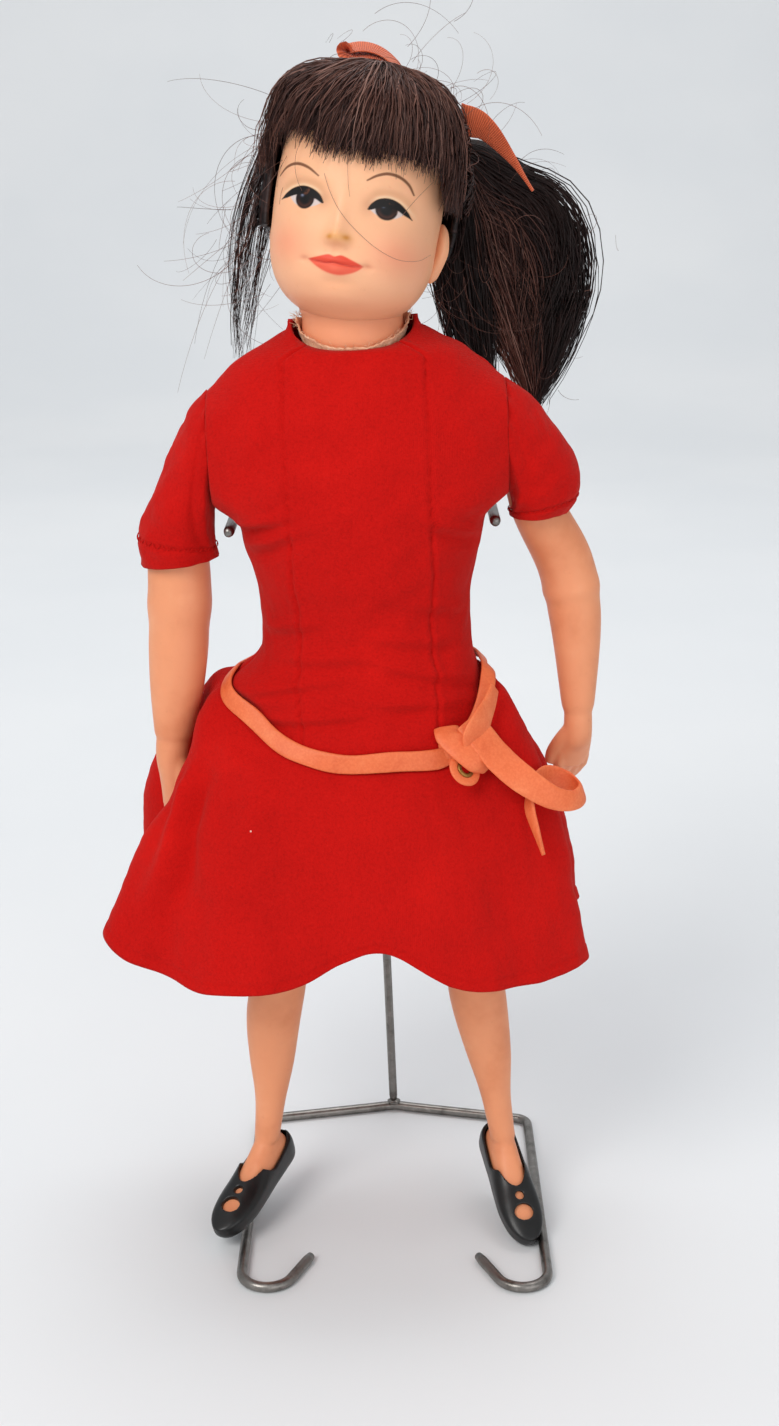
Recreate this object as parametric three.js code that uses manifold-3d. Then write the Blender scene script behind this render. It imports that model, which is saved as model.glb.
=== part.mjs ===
// A jointed fashion doll in a short-sleeved, flared dress, held up by a bent wire stand.
// Millimetres, +Z up. The doll faces -Y, and its left hand is on the +X side.
// The origin is on the floor, under the middle of the stand's crossbar and the foot of its rod.

import * as THREE from 'three';
import { mergeVertices } from 'three/addons/utils/BufferGeometryUtils.js';
import Module from 'manifold-3d';

const wasm = await Module();
wasm.setup();

const { cos, sin, abs, sign, min, max, exp, asin, PI } = Math;
const radians = THREE.MathUtils.degToRad;
const lerp = THREE.MathUtils.lerp;
const SIDES = { right: -1, left: 1 };

// Gaps between pieces that touch
const FIT_GAP = 0.35;
const SEAM_GAP = 0.3;
const WAIST_GAP = 0.6;

// Ribbon and belt trim
const RIBBON_THICKNESS = 0.7;
const RIBBON_WIDTH = 8;
const WRAP_FROM = 0.06;
const WRAP_TO = 0.11;
const FACING_THICKNESS = 0.5;
const FACING_DEPTH = 2.1;
const FACING_SHOW = 0.5;
const KNOT_STAND_OFF = 6.35;
const BELT_KNOT_REACH = [4.8, 2.2, 4.4];
const RIBBON_KNOT_REACH = [2.8, 3, 2.2];
const KNOT_DROP = 0.9;
const EYELET_ANGLE = 0.11;
const EYELET_DROP = 6.7;
const EYELET_STAND_OFF = 8.2;
const EYELET_RADIUS = 2.3;
const EYELET_WIRE = 0.5;

// The stand's wires
const BASE_WIRE = 2.8;
const ROD_WIRE = 2.5;
const FORK_WIRE = 2.8;
const RAIL_SPACING = 82;
const RAIL_LENGTH = 82;
const HOOK_RADIUS = 7;
const HOOK_TURN = 155;
const HOOK_TIP_LENGTH = 11.5;
const CORNER_RADIUS = 4;
const CROSSBAR_SET_BACK = 8;
const ROD_STANDOFF = 55;
const FORK_HEIGHT = 199;
const FORK_SPAN = 67.2;
const FORK_REACH = 7;
const STAND_LEAN = 2.4;

// The doll's joints
const HIP_HEIGHT = 150;
const LEG_LENGTH = 127.3;
const ANKLE_OVER_FLOOR = 22.7;
const FIGURE_RISE = ANKLE_OVER_FLOOR + LEG_LENGTH - HIP_HEIGHT;
const HIP_REACH = 15;
const SHOULDER_HEIGHT = 222;
const NECK_SEAT_HEIGHT = 241.5;
const SHOULDER_PLANE = 36.3;
const ARM_PLANE = 37.2;

// Reaches past everything, for blocks that cut
const FAR = 60;
const TALL = 300;

// Body shells
const SHELL_WALL = 1.8;
const BODY_SQUARENESS = 2.2;
const BODY_SIDES = 22;
const HIP_SIDES = 20;
const CROTCH_HALF_WIDTH = 9;
const HIP_BALL_RADIUS = 14;
const HIP_CLEARANCE = 0.6;
const INNER_THIGH_REACH = 2.5;
const INNER_THIGH_DROP = 12;
const HIP_SWING_BACK = 20;
const HIP_SWING_FORWARD = 90;
const ARM_STEM_RADIUS = 4;
const ARM_FLANGE_RADIUS = 6.5;
const LEG_STEM_RADIUS = 3.2;
const LEG_FLANGE_RADIUS = 5;
const FLANGE_THICKNESS = 2;
const NECK_STEM_RADIUS = 5;
const NECK_KNOB_RADIUS = 8.2;
const NECK_RADIUS = 12.9;
const NECK_WALL = 2;

// Head: half width, depth to the face, depth to the back and half height
const HEAD_HALF_WIDTH = 20;
const HEAD_FRONT = 23.5;
const HEAD_BACK = 23.5;
const HEAD_HALF_HEIGHT = 29.5;
const HEAD_OVER_NECK = 36.5;
const HEAD_CENTRE = new THREE.Vector3(3, 0, NECK_SEAT_HEIGHT + HEAD_OVER_NECK);
const HEAD_WALL = 2.2;
const EAR_REACH = [1.7, 3.6, 6.2];
const EAR_PLACE = [20.4, 3.5, -11];
const EAR_TURN = 29;
const HEAD_YAW = -10;
const HEAD_ROLL = 10.3;
const HEAD_PITCH = -8;

// Hair
const HAIR_THICKNESS = 2.8;
const BANGS_THICKNESS = 3.5;
const CAP_LOCKS = 0.35;
const BANGS_LOCKS = 0.6;
const HAIRLINE_DEPTH = 6;
const BANGS_EDGE_HEIGHT = 9;
const BANGS_SLANT = 7;
const EAR_HAIR_DEPTH = 7.5;
const EAR_HAIR_HEIGHT = -0.5;
const NAPE_SLANT = 14;
const NAPE_HEIGHT = -13;

// Dress
const CLOTH = 1.2;
const DRESS_EASE = 0.7;
const PRINCESS_SEAM_X = 17.5;
const PRINCESS_SEAM_SHARE = 0.62;
const NECKLINE_RISE = { front: 2.5, side: 9.1, back: 7.5 };
const BELT_SIDE_HEIGHT = 159;
const BELT_DROOP = 15;
const BELT_BACK_RISE = 2;
const BELT_KNOT_ANGLE = 0.77;
const BELT_WIDTH = 5;
const TAIL_WIDTH = 6.4;
const BELT_THICKNESS = 0.9;
const HEM_HEIGHT = 84.8;
const HEM_HALF_WIDTH = 66;
const HEM_HALF_DEPTH = { front: 47, back: 42 };
const HEM_SHIFT = -9;
const HEM_TILT = 0.03;

// How far the dress stands off the hips at the belt, and how soon the skirt flares, by side
const HIP_SPRING = { right: 7, left: 1.5, tall: 5 };
const FLARE = { front: 0.76, right: 0.53, left: 0.4 };

// Body sections from the hips up: height, half width, depth forward and depth back of the dress
const BODY_SECTIONS = [
  [136, 30, 21, 22],
  [144, 32.2, 24, 23],
  [150, 31.4, 22.6, 22],
  [158, 29.6, 20.8, 20],
  [166, 27.4, 19.6, 18.4],
  [173, 26.8, 19.6, 17.6],
  [183, 27.4, 21.2, 18],
  [193, 29.8, 23, 18.6],
  [201, 31.9, 23.4, 19],
  [206, 38, 23.2, 19],
  [214, 42, 22, 18.4],
  [222, 43, 20.2, 17.6],
  [230, 41.5, 18, 16.6],
  [236, 35, 16.8, 16],
  [241, 29.2, 16, 15.8],
  [245.5, 22.6, 15.4, 15.4],
  [250, 16.2, 15.2, 15.2],
  [253, 15, 15, 15],
];
const bodySection = profile(BODY_SECTIONS);
const BODY_LEVELS = BODY_SECTIONS.map(([height]) => height);

// How the head's width, face depth and back depth differ from an egg's, by height over its centre
const headTaper = profile([
  [-30, 1.2, 1.24, 0.44],
  [-26, 1.24, 1.22, 0.5],
  [-22, 1.2, 1.16, 0.58],
  [-16, 1.13, 1.04, 0.7],
  [-8, 1.04, 0.98, 0.86],
  [3, 1.01, 0.95, 1.02],
  [14, 1.03, 0.99, 1.1],
  [30, 1.0, 1.0, 1.0],
]);

// Bumps and hollows of the face: across, up, how far out, spread across, spread up
const FACE_RELIEF = [
  { across: 0, up: -11, out: 2.7, wide: 1.9, tall: 2.0 },
  { across: 0, up: -6.5, out: 1.3, wide: 1.6, tall: 3.2 },
  { across: 0, up: -16.8, out: 1.1, wide: 3.8, tall: 1.2 },
  { across: 0, up: -19.8, out: 0.9, wide: 3.0, tall: 1.2 },
  { across: 0, up: -25.5, out: 0.8, wide: 4.0, tall: 2.4 },
  { across: -9.5, up: -3, out: -1.3, wide: 3.8, tall: 2.6 },
  { across: 9.5, up: -3, out: -1.3, wide: 3.8, tall: 2.6 },
  { across: -11.5, up: -13, out: 0.9, wide: 4.6, tall: 4.2 },
  { across: 11.5, up: -13, out: 0.9, wide: 4.6, tall: 4.2 },
];

// Folds of the skirt: the angle they lie at, their spread and how deep they draw in
const SKIRT_FOLDS = [
  { angle: -93, spread: 16, depth: 0.42, fromBelt: true },
  { angle: 96, spread: 15, depth: 0.28, fromBelt: true },
  { angle: 66, spread: 12, depth: -0.03, fromBelt: true },
  { angle: -62, spread: 12, depth: -0.03 },
  { angle: 118, spread: 13, depth: -0.1 },
  { angle: -116, spread: 12, depth: -0.04 },
  { angle: 3, spread: 15, depth: 0.11 },
  { angle: -42, spread: 8, depth: 0.05 },
  { angle: 44, spread: 8, depth: 0.05 },
  { angle: 150, spread: 12, depth: 0.09 },
  { angle: -150, spread: 12, depth: 0.09 },
  { angle: 180, spread: 9, depth: 0.06 },
  { angle: -180, spread: 9, depth: 0.06 },
];

// Where the hem rises: the angle it lies at, its spread and height
const HEM_RISES = [
  { angle: 7, spread: 14, rise: 11 },
  { angle: -76, spread: 24, rise: 10.5 },
  { angle: 86, spread: 20, rise: 2 },
];

// Thigh to ankle: share of the leg's length below the hip, shift outward, half width, depth forward and back
const legSection = profile([
  [0.024, 3.4, 9, 12.6, 12.6],
  [0.102, 2.6, 9.8, 13, 13],
  [0.165, 1, 11.6, 12.8, 13],
  [0.267, 0, 12.2, 12.4, 12.2],
  [0.393, 0, 10.8, 11, 10.2],
  [0.503, 0, 8.8, 9.4, 8],
  [0.581, 0.2, 7.7, 7.9, 7.6],
  [0.676, 0.3, 7.7, 7, 9],
  [0.801, 0.2, 6.3, 5.6, 7.6],
  [0.911, 0, 4.7, 4.6, 5.4],
  [1, 0, 4.3, 4.6, 4.8],
]);
const LEG_RINGS = [
  0.024, 0.063, 0.102, 0.157, 0.236, 0.33, 0.424, 0.503, 0.581, 0.66, 0.738, 0.825, 0.911, 1,
];
const LEG_SPLAY = { right: 9, left: 8.1 };

// Foot, from the heel forward: distance, half width, sole depth and instep height
const FOOT_LENGTH = 36;
const footSection = profile([
  [0, 2.6, 2.6, 2.4],
  [3, 4.2, 3.5, 6.5],
  [8, 4.6, 3.5, 9],
  [14, 4.7, 3.4, 6.6],
  [20, 5.3, 3.4, 3.6],
  [26, 5.7, 3.4, 2],
  [31, 5.2, 3.3, 0.9],
  [36, 2.2, 2.8, -0.6],
]);
const ANKLE_FROM_HEEL = 7;
const ANKLE_HEIGHT = 6.5;
const SHOE_WALL = 1.1;
const SOLE_THICKNESS = 1.5;
const TOPLINE_SLANT = 9;
const TOPLINE_HEIGHT = 4.4;

// The shoe's throat, its round and its oval cut-out: distance forward, reach forward and across
const SHOE_OPENINGS = [
  { forward: 8.6, reach: 8.6, across: 5.1, sides: 18 },
  { forward: 20.5, reach: 1.5, across: 1.5, sides: 10 },
  { forward: 26.2, reach: 2.9, across: 3.1, sides: 10 },
];
const FOOT_POSES = {
  right: { yaw: 24, pitch: 12 },
  left: { yaw: 13, pitch: 20 },
};

// Arms: the elbow and wrist of each, and sizes that both share
const ARM_ROUTES = {
  right: [
    [ARM_PLANE, 0, 220.5], [41.8, 0.5, 212.5], [46.8, 1.5, 200],
    [48.2, 2.4, 181], [50.6, 2.4, 158], [53, 2, 140],
  ],
  left: [
    [ARM_PLANE, 0, 220.5], [43, 2, 212.5], [47.2, 5, 200],
    [51.5, 9, 184], [54.8, 9, 170], [55.4, 5, 140],
  ],
};
const HAND_TIPS = { right: [54.3, 2, 113], left: [51.8, 14, 122] };
const HAND_TURNS = { right: -20, left: -65 };
const PALM_REACH = { wrist: 4, knuckles: 5.2, thick: 2.8 };
const FINGERS = [
  { spread: -3.6, length: 0.86 },
  { spread: -1.25, length: 0.97 },
  { spread: 1.15, length: 1 },
  { spread: 3.4, length: 0.94 },
];
const ARM_ROUND = {
  right: [7, 5.9, 7.4, 8.2, 7.2, 4.4],
  left: [7, 6, 6.1, 7.3, 7.2, 4.2],
};

const ARMHOLE_DEPTH = 11.4;
const CUFF_DEPTH = 10.4;
const SLEEVE_PUFF = 1.2;

// Sleeves: the outer line from shoulder to hem, the line under the arm and how far back the hem lies
const SLEEVES = {
  right: {
    crown: [
      [ARM_PLANE, 233.8], [40.5, 231.2], [44.6, 225], [49.8, 214.5], [54.4, 205.5], [57.4, 198], [57.4, 190],
    ],
    underarm: [[ARM_PLANE, 206.3], [37.5, 203.2], [37.7, 200], [37.6, 196], [37.5, 191.5]],
    back: 1.8,
  },
  left: {
    crown: [
      [ARM_PLANE, 233.8], [41, 231.5], [46, 226.5], [51.8, 218], [56.3, 209], [56.7, 203], [55.9, 197.8],
    ],
    underarm: [[ARM_PLANE, 206.3], [37.5, 204.4], [37.7, 202.6], [37.6, 200.6], [37.6, 198.4]],
    back: 5.6,
  },
};

// Hanging hair: each lock's route from the head's centre, and its half width and half depth along it
const ponytailSize = profile([
  [0, 4.6, 4.6],
  [0.1, 5.2, 4.8],
  [0.3, 10.5, 7],
  [0.5, 16.6, 8],
  [0.7, 15.8, 7],
  [0.88, 9.5, 4.6],
  [1, 2.2, 1.6],
]);
const PONYTAIL = {
  route: [
    [18.4, 17.8, 9.4], [27.8, 22.5, 7.2], [36.5, 25, -3],
    [43, 25.5, -20], [43.4, 24.5, -36], [42.4, 23, -53.5],
  ].map(fromHead),
  size: (t) => ponytailSize(t),
};
const SIDE_LOCK = {
  route: [[-19, 15, 15], [-25.5, 16.5, -2], [-29.5, 16, -18], [-32, 15, -35.5]].map(fromHead),
  size: (t) => [lerp(3.4, 1, t ** 2) + 2.2 * sin(PI * t), lerp(2.6, 0.8, t)],
};

// Hair ribbon: where its loop and tail leave the knot, from the knot's middle, and how they go on
const LOOP_ENDS = [[-0.6, 0.4, 2.85], [-2.6, 2.4, 0.9]];
const RIBBON_LOOP = [
  [14.5, 30, 27], [8, 31.8, 33.4], [0, 31.8, 36.2], [-3.2, 31, 33], [2.4, 30.6, 28.4], [11, 30.2, 23],
].map(fromHead);
const TAIL_END = [2.85, -2.1, 1.1];
const RIBBON_TAIL = [[28, 12.6, 18.8], [32, 11.2, 15], [38.5, 11.4, 7.4], [43.5, 12.4, -0.5]].map(fromHead);
const BELT_TAIL = [
  [30.6, -25, 143.6], [36.5, -29, 138.6], [43, -29.4, 133], [49.4, -25.5, 128.8], [53.6, -18.5, 128.2],
  [52.8, -13.5, 131], [49.4, -14.2, 134], [46.6, -18, 132.6], [45.2, -22.2, 127.4], [45.6, -24.8, 120],
  [46.4, -27, 112.6],
];

// A smooth curve through rows of [position, value, value, ...]
function profile(rows) {
  const positions = rows.map((row) => row[0]);
  const values = rows.flatMap((row) => row.slice(1));
  const size = rows[0].length - 1;
  const curve = new THREE.CubicInterpolant(positions, values, size, new Float64Array(size));
  return (position) => Array.from(curve.evaluate(position));
}

// A place given from the head's centre
function fromHead([x, y, z]) {
  return [HEAD_CENTRE.x + x, HEAD_CENTRE.y + y, HEAD_CENTRE.z + z];
}

function vector(x, y, z) {
  return new THREE.Vector3(x, y, z);
}

// A signed power, which squares off an ellipse's sine and cosine
function squared(value, power) {
  return sign(value) * abs(value) ** power;
}

// Faces to a closed geometry, turned inside out if its volume comes out negative
function closedGeometry(points, faces) {
  let volume = 0;
  for (const [a, b, c] of faces) {
    volume += points[a].dot(points[b].clone().cross(points[c]));
  }
  const order = volume < 0 ? [0, 2, 1] : [0, 1, 2];
  const geometry = new THREE.BufferGeometry().setFromPoints(points);
  geometry.setIndex(faces.flatMap((face) => order.map((corner) => face[corner])));
  return mergeVertices(geometry, 1e-5);
}

// A solid between rings of points, closed at both ends by fans
function loft(rings) {
  const count = rings[0].length;
  const points = rings.flat();
  const faces = [];
  for (let ring = 0; ring + 1 < rings.length; ring += 1) {
    for (let side = 0; side < count; side += 1) {
      const next = (side + 1) % count;
      const [a, b] = [ring * count + side, ring * count + next];
      faces.push([a, b, b + count], [a, b + count, a + count]);
    }
  }
  for (const ring of [0, rings.length - 1]) {
    const middle = new THREE.Vector3();
    rings[ring].forEach((point) => middle.add(point));
    points.push(middle.divideScalar(count));
    for (let side = 0; side < count; side += 1) {
      const [a, b] = [ring * count + side, ring * count + ((side + 1) % count)];
      faces.push(ring === 0 ? [points.length - 1, b, a] : [points.length - 1, a, b]);
    }
  }
  return closedGeometry(points, faces);
}

// A sheet with thickness: place(u, v, skin) is a point of its outer (0) or inner (1) skin
function sheet(columns, rows, place, wrap = false) {
  const across = wrap ? columns : columns + 1;
  const points = [];
  for (const skin of [0, 1]) {
    for (let row = 0; row <= rows; row += 1) {
      for (let column = 0; column < across; column += 1) {
        points.push(place(column / columns, row / rows, skin));
      }
    }
  }
  const at = (column, row, skin) => (skin * (rows + 1) + row) * across + (column % across);
  const faces = [];
  const quad = (a, b, c, d) => faces.push([a, b, c], [a, c, d]);
  for (let column = 0; column < columns; column += 1) {
    for (let row = 0; row < rows; row += 1) {
      quad(at(column, row, 0), at(column + 1, row, 0), at(column + 1, row + 1, 0), at(column, row + 1, 0));
      quad(at(column, row, 1), at(column, row + 1, 1), at(column + 1, row + 1, 1), at(column + 1, row, 1));
    }
    quad(at(column, 0, 0), at(column, 0, 1), at(column + 1, 0, 1), at(column + 1, 0, 0));
    quad(at(column, rows, 0), at(column + 1, rows, 0), at(column + 1, rows, 1), at(column, rows, 1));
  }
  for (let row = 0; row < rows && !wrap; row += 1) {
    quad(at(0, row, 0), at(0, row + 1, 0), at(0, row + 1, 1), at(0, row, 1));
    quad(at(columns, row, 0), at(columns, row, 1), at(columns, row + 1, 1), at(columns, row + 1, 0));
  }
  return closedGeometry(points, faces);
}

// A point beside a curve: across it, square to a reference direction, and up from both
function beside(curve, reference, t, across, upward) {
  const tangent = curve.getTangent(t);
  const side = reference.clone().cross(tangent).normalize();
  const up = tangent.clone().cross(side);
  return curve.getPoint(t).addScaledVector(side, across).addScaledVector(up, upward);
}

// A solid round a curve: section(t, angle) is how far its skin lies across and up
function sweep(curve, reference, steps, sides, section) {
  const rings = [];
  for (let step = 0; step <= steps; step += 1) {
    const ring = [];
    for (let turn = 0; turn < sides; turn += 1) {
      const [across, upward] = section(step / steps, (turn / sides) * 2 * PI);
      ring.push(beside(curve, reference, step / steps, across, upward));
    }
    rings.push(ring);
  }
  return loft(rings);
}

function smoothCurve(points) {
  return new THREE.CatmullRomCurve3(points.map((point) => vector(...point)), false, 'centripetal');
}

// A path through chosen points, one step to each, with corners mitred
class BentPath extends THREE.Curve {
  constructor(points) {
    super();
    this.points = points;
  }

  getPoint(t) {
    const place = min(t * (this.points.length - 1), this.points.length - 1 - 1e-9);
    const step = Math.floor(place);
    return this.points[step].clone().lerp(this.points[step + 1], place - step);
  }

  getTangent(t) {
    const last = this.points.length - 1;
    const step = Math.round(t * last);
    const before = this.points[max(step - 1, 0)];
    const here = this.points[step];
    const after = this.points[min(step + 1, last)];
    const arriving = here.clone().sub(before).normalize();
    return arriving.add(after.clone().sub(here).normalize()).normalize();
  }

  getUtoTmapping(u) {
    return u;
  }
}

// Round wire with flats, so that it rests on a true face
function wire(points, diameter, sides) {
  const outline = new THREE.Shape();
  const corner = diameter / 2 / cos(PI / sides);
  for (let side = 0; side <= sides; side += 1) {
    const turn = ((side + 0.5) / sides) * 2 * PI;
    const [x, y] = [corner * cos(turn), corner * sin(turn)];
    if (side === 0) {
      outline.moveTo(x, y);
    } else {
      outline.lineTo(x, y);
    }
  }
  const path = new BentPath(points);
  return new THREE.ExtrudeGeometry(outline, { steps: points.length - 1, extrudePath: path });
}

// Points of a level arc, from one angle to another in degrees
function arc(centreX, centreY, radius, from, to, steps, height) {
  const points = [];
  for (let step = 0; step <= steps; step += 1) {
    const turn = radians(lerp(from, to, step / steps));
    points.push(vector(centreX + radius * cos(turn), centreY + radius * sin(turn), height));
  }
  return points;
}

// Solids for joining and cutting
function solid(geometry) {
  const bare = geometry.clone();
  bare.deleteAttribute('normal');
  bare.deleteAttribute('uv');
  const merged = mergeVertices(bare, 1e-5);
  return new wasm.Manifold(new wasm.Mesh({
    numProp: 3,
    vertProperties: new Float32Array(merged.attributes.position.array),
    triVerts: new Uint32Array(merged.index.array),
  }));
}

function geometryOf(body) {
  const mesh = body.getMesh();
  const geometry = new THREE.BufferGeometry();
  geometry.setAttribute('position', new THREE.BufferAttribute(mesh.vertProperties, 3));
  geometry.setIndex(new THREE.BufferAttribute(mesh.triVerts, 1));
  return geometry;
}

function joined(...bodies) {
  return bodies.reduce((whole, body) => whole.add(body));
}

function without(body, ...cutters) {
  return cutters.reduce((rest, cutter) => rest.subtract(cutter), body);
}

function box(low, high) {
  const size = high.map((value, axis) => value - low[axis]);
  const geometry = new THREE.BoxGeometry(...size);
  geometry.translate(...low.map((value, axis) => value + size[axis] / 2));
  return geometry;
}

function boxSolid(low, high) {
  return solid(box(low, high));
}

// A round bar along X between two places, at a height over the doll's axis
function crossBar(radius, fromX, toX, height, sides = 24) {
  const geometry = new THREE.CylinderGeometry(radius, radius, abs(toX - fromX), sides);
  geometry.rotateZ(PI / 2);
  geometry.translate((fromX + toX) / 2, 0, height);
  return geometry;
}

// Height of the belt line, where the bodice meets the skirt
function beltLine(angle) {
  const facing = cos(angle);
  if (facing < 0) {
    return BELT_SIDE_HEIGHT + BELT_BACK_RISE * facing ** 2;
  }
  const kept = THREE.MathUtils.smoothstep(angle, BELT_KNOT_ANGLE - 0.3, BELT_KNOT_ANGLE + 0.72);
  return BELT_SIDE_HEIGHT - BELT_DROOP * (angle > 0 ? 1 - kept : facing ** 2);
}

// A point on the body's sections, drawn in by an inset: angle 0 is in front, 90 degrees is at +X
function bodyPoint(height, angle, inset) {
  const [halfWidth, front, back] = bodySection(height);
  const depth = cos(angle) > 0 ? front : back;
  const power = 2 / BODY_SQUARENESS;
  return vector(
    (halfWidth - inset) * squared(sin(angle), power),
    -(depth - inset) * squared(cos(angle), power),
    height,
  );
}

// A point of the dress, which springs off the hips just where the belt goes round
function dressPoint(height, angle, inset) {
  const spring = angle < 0 ? HIP_SPRING.right : HIP_SPRING.left;
  const near = exp(-(((height - BELT_SIDE_HEIGHT) / HIP_SPRING.tall) ** 2));
  return bodyPoint(height, angle, inset - spring * near * sin(angle) ** 4);
}

// How strongly a fold or rise at one angle is felt at another, both in degrees
function felt({ angle, spread }, degrees) {
  return exp(-(((degrees - angle) / spread) ** 2));
}

// How far the folds draw the skirt in: those beside the hands start at the belt, the others grow to the hem
function foldDepth(degrees, t) {
  let depth = 0;
  for (const fold of SKIRT_FOLDS) {
    depth += fold.depth * (fold.fromBelt ? 1 : t) * felt(fold, degrees);
  }
  return depth;
}

// A point of the skirt, from the belt line (0) to the hem (1)
function skirtPoint(angle, t, inset) {
  const degrees = THREE.MathUtils.radToDeg(angle);
  const top = dressPoint(beltLine(angle), angle, 0);
  const spread = 1 - foldDepth(degrees, t);
  const halfDepth = cos(angle) > 0 ? HEM_HALF_DEPTH.front : HEM_HALF_DEPTH.back;
  const hemX = HEM_SHIFT + HEM_HALF_WIDTH * squared(sin(angle), 0.9) * spread;
  const hemY = -halfDepth * squared(cos(angle), 0.9) * spread;
  const rise = HEM_RISES.reduce((sum, bump) => sum + bump.rise * felt(bump, degrees), 0);
  const hemZ = HEM_HEIGHT - HEM_TILT * hemX + rise;
  const flare = t ** lerp(FLARE.front, angle < 0 ? FLARE.right : FLARE.left, sin(angle) ** 2);
  const point = vector(lerp(top.x, hemX, flare), lerp(top.y, hemY, flare), lerp(top.z, hemZ, t));
  const outward = vector(point.x, point.y, 0).normalize();
  return point.addScaledVector(outward, -inset);
}

const group = new THREE.Group();
const standing = new THREE.Group();
const figure = new THREE.Group();
standing.rotation.y = -radians(STAND_LEAN);
figure.position.y = -ROD_STANDOFF;
figure.position.z = FIGURE_RISE;
standing.add(figure);
group.add(standing);

const MATERIALS = {
  steel: { color: 0x6e6962, roughness: 0.35, metalness: 1 },
  vinyl: { color: 0xf0b48c, roughness: 0.45, metalness: 0 },
  body: { color: 0xe5a47e, roughness: 0.5, metalness: 0 },
  hair: { color: 0x3a2320, roughness: 0.5, metalness: 0 },
  dress: { color: 0xc81a12, roughness: 0.95, metalness: 0 },
  lining: { color: 0xf0d2b4, roughness: 0.95, metalness: 0 },
  belt: { color: 0xee8455, roughness: 0.5, metalness: 0 },
  ribbon: { color: 0xe1643c, roughness: 0.6, metalness: 0 },
  brass: { color: 0xb08a4c, roughness: 0.35, metalness: 1 },
  shoe: { color: 0x121214, roughness: 0.4, metalness: 0 },
};

function place(parent, name, geometry, look) {
  const mesh = new THREE.Mesh(geometry, new THREE.MeshStandardMaterial(MATERIALS[look]));
  mesh.name = name;
  parent.add(mesh);
}

// The stand's base: a crossbar, two rails and a hook at the front end of each
function baseWire() {
  const half = RAIL_SPACING / 2;
  const height = BASE_WIRE / 2;
  const crossbarY = -CROSSBAR_SET_BACK;
  const hookY = crossbarY - RAIL_LENGTH;
  const side = [];
  const hookEnd = 360 - (180 - HOOK_TURN);
  const bend = arc(-half + HOOK_RADIUS, hookY, HOOK_RADIUS, hookEnd, 180, 12, height);
  const heading = radians(HOOK_TURN - 90);
  const tip = bend[0].clone().add(vector(cos(heading), sin(heading), 0).multiplyScalar(HOOK_TIP_LENGTH));
  side.push(tip, ...bend);
  side.push(...arc(-half + CORNER_RADIUS, crossbarY - CORNER_RADIUS, CORNER_RADIUS, 180, 100, 5, height));
  const mirrored = side.map((point) => vector(-point.x, point.y, point.z)).reverse();
  const middle = [vector(-3, -0.6, height), vector(0, 0, height), vector(3, -0.6, height)];
  return wire([...side, ...middle, ...mirrored], BASE_WIRE, 8);
}

// The rod rises from the crossbar to the fork
function uprightRod() {
  const bottom = BASE_WIRE + FIT_GAP;
  const top = FIGURE_RISE + FORK_HEIGHT - FORK_WIRE / 2 - SEAM_GAP;
  const geometry = new THREE.CylinderGeometry(ROD_WIRE / 2, ROD_WIRE / 2, top - bottom, 12);
  geometry.rotateX(PI / 2);
  geometry.translate(0, 0, (top + bottom) / 2);
  return geometry;
}

// The fork goes round the doll's back and comes forward under both arms
function forkWire() {
  const half = FORK_SPAN / 2;
  const bend = arc(0, ROD_STANDOFF - half, half, 0, 180, 16, FORK_HEIGHT);
  const points = [vector(half, -FORK_REACH, FORK_HEIGHT), ...bend, vector(-half, -FORK_REACH, FORK_HEIGHT)];
  return wire(points, FORK_WIRE, 8);
}

// The body's outer form between two heights, rounded in at the bottom
function bodyForm(inset, bottom, top, sides) {
  const rings = [];
  const levels = BODY_LEVELS.filter((height) => height > bottom + 5 && height < top - 1);
  for (const height of [bottom, bottom + 1.5, bottom + 4, ...levels, top]) {
    const rounding = 9 * max(0, 1 - (height - bottom) / 4) ** 2;
    const ring = [];
    for (let side = 0; side < sides; side += 1) {
      ring.push(bodyPoint(height, (side / sides) * 2 * PI, inset + rounding));
    }
    rings.push(ring);
  }
  return solid(loft(rings));
}

// The space that one thigh needs as it swings, with a margin for the shell's wall round it
function thighSpace(side, margin) {
  const radius = HIP_BALL_RADIUS + HIP_CLEARANCE + margin;
  const joint = CROTCH_HALF_WIDTH - margin;
  const ball = solid(crossBar(radius, side * joint, side * FAR, HIP_HEIGHT, HIP_SIDES));
  const slabs = [-HIP_SWING_BACK, 0, HIP_SWING_FORWARD / 2, HIP_SWING_FORWARD].flatMap((angle) => {
    const upper = { near: joint, top: 0 };
    const inner = { near: joint - INNER_THIGH_REACH, top: -INNER_THIGH_DROP + margin };
    return [upper, inner].map(({ near, top }) => {
      const [low, high] = side > 0 ? [near, FAR] : [-FAR, -near];
      const slab = box([low, -radius, -FAR], [high, radius, top]);
      slab.rotateX(-radians(angle));
      slab.translate(0, 0, HIP_HEIGHT);
      return solid(slab);
    });
  });
  return joined(ball, ...slabs);
}

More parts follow.
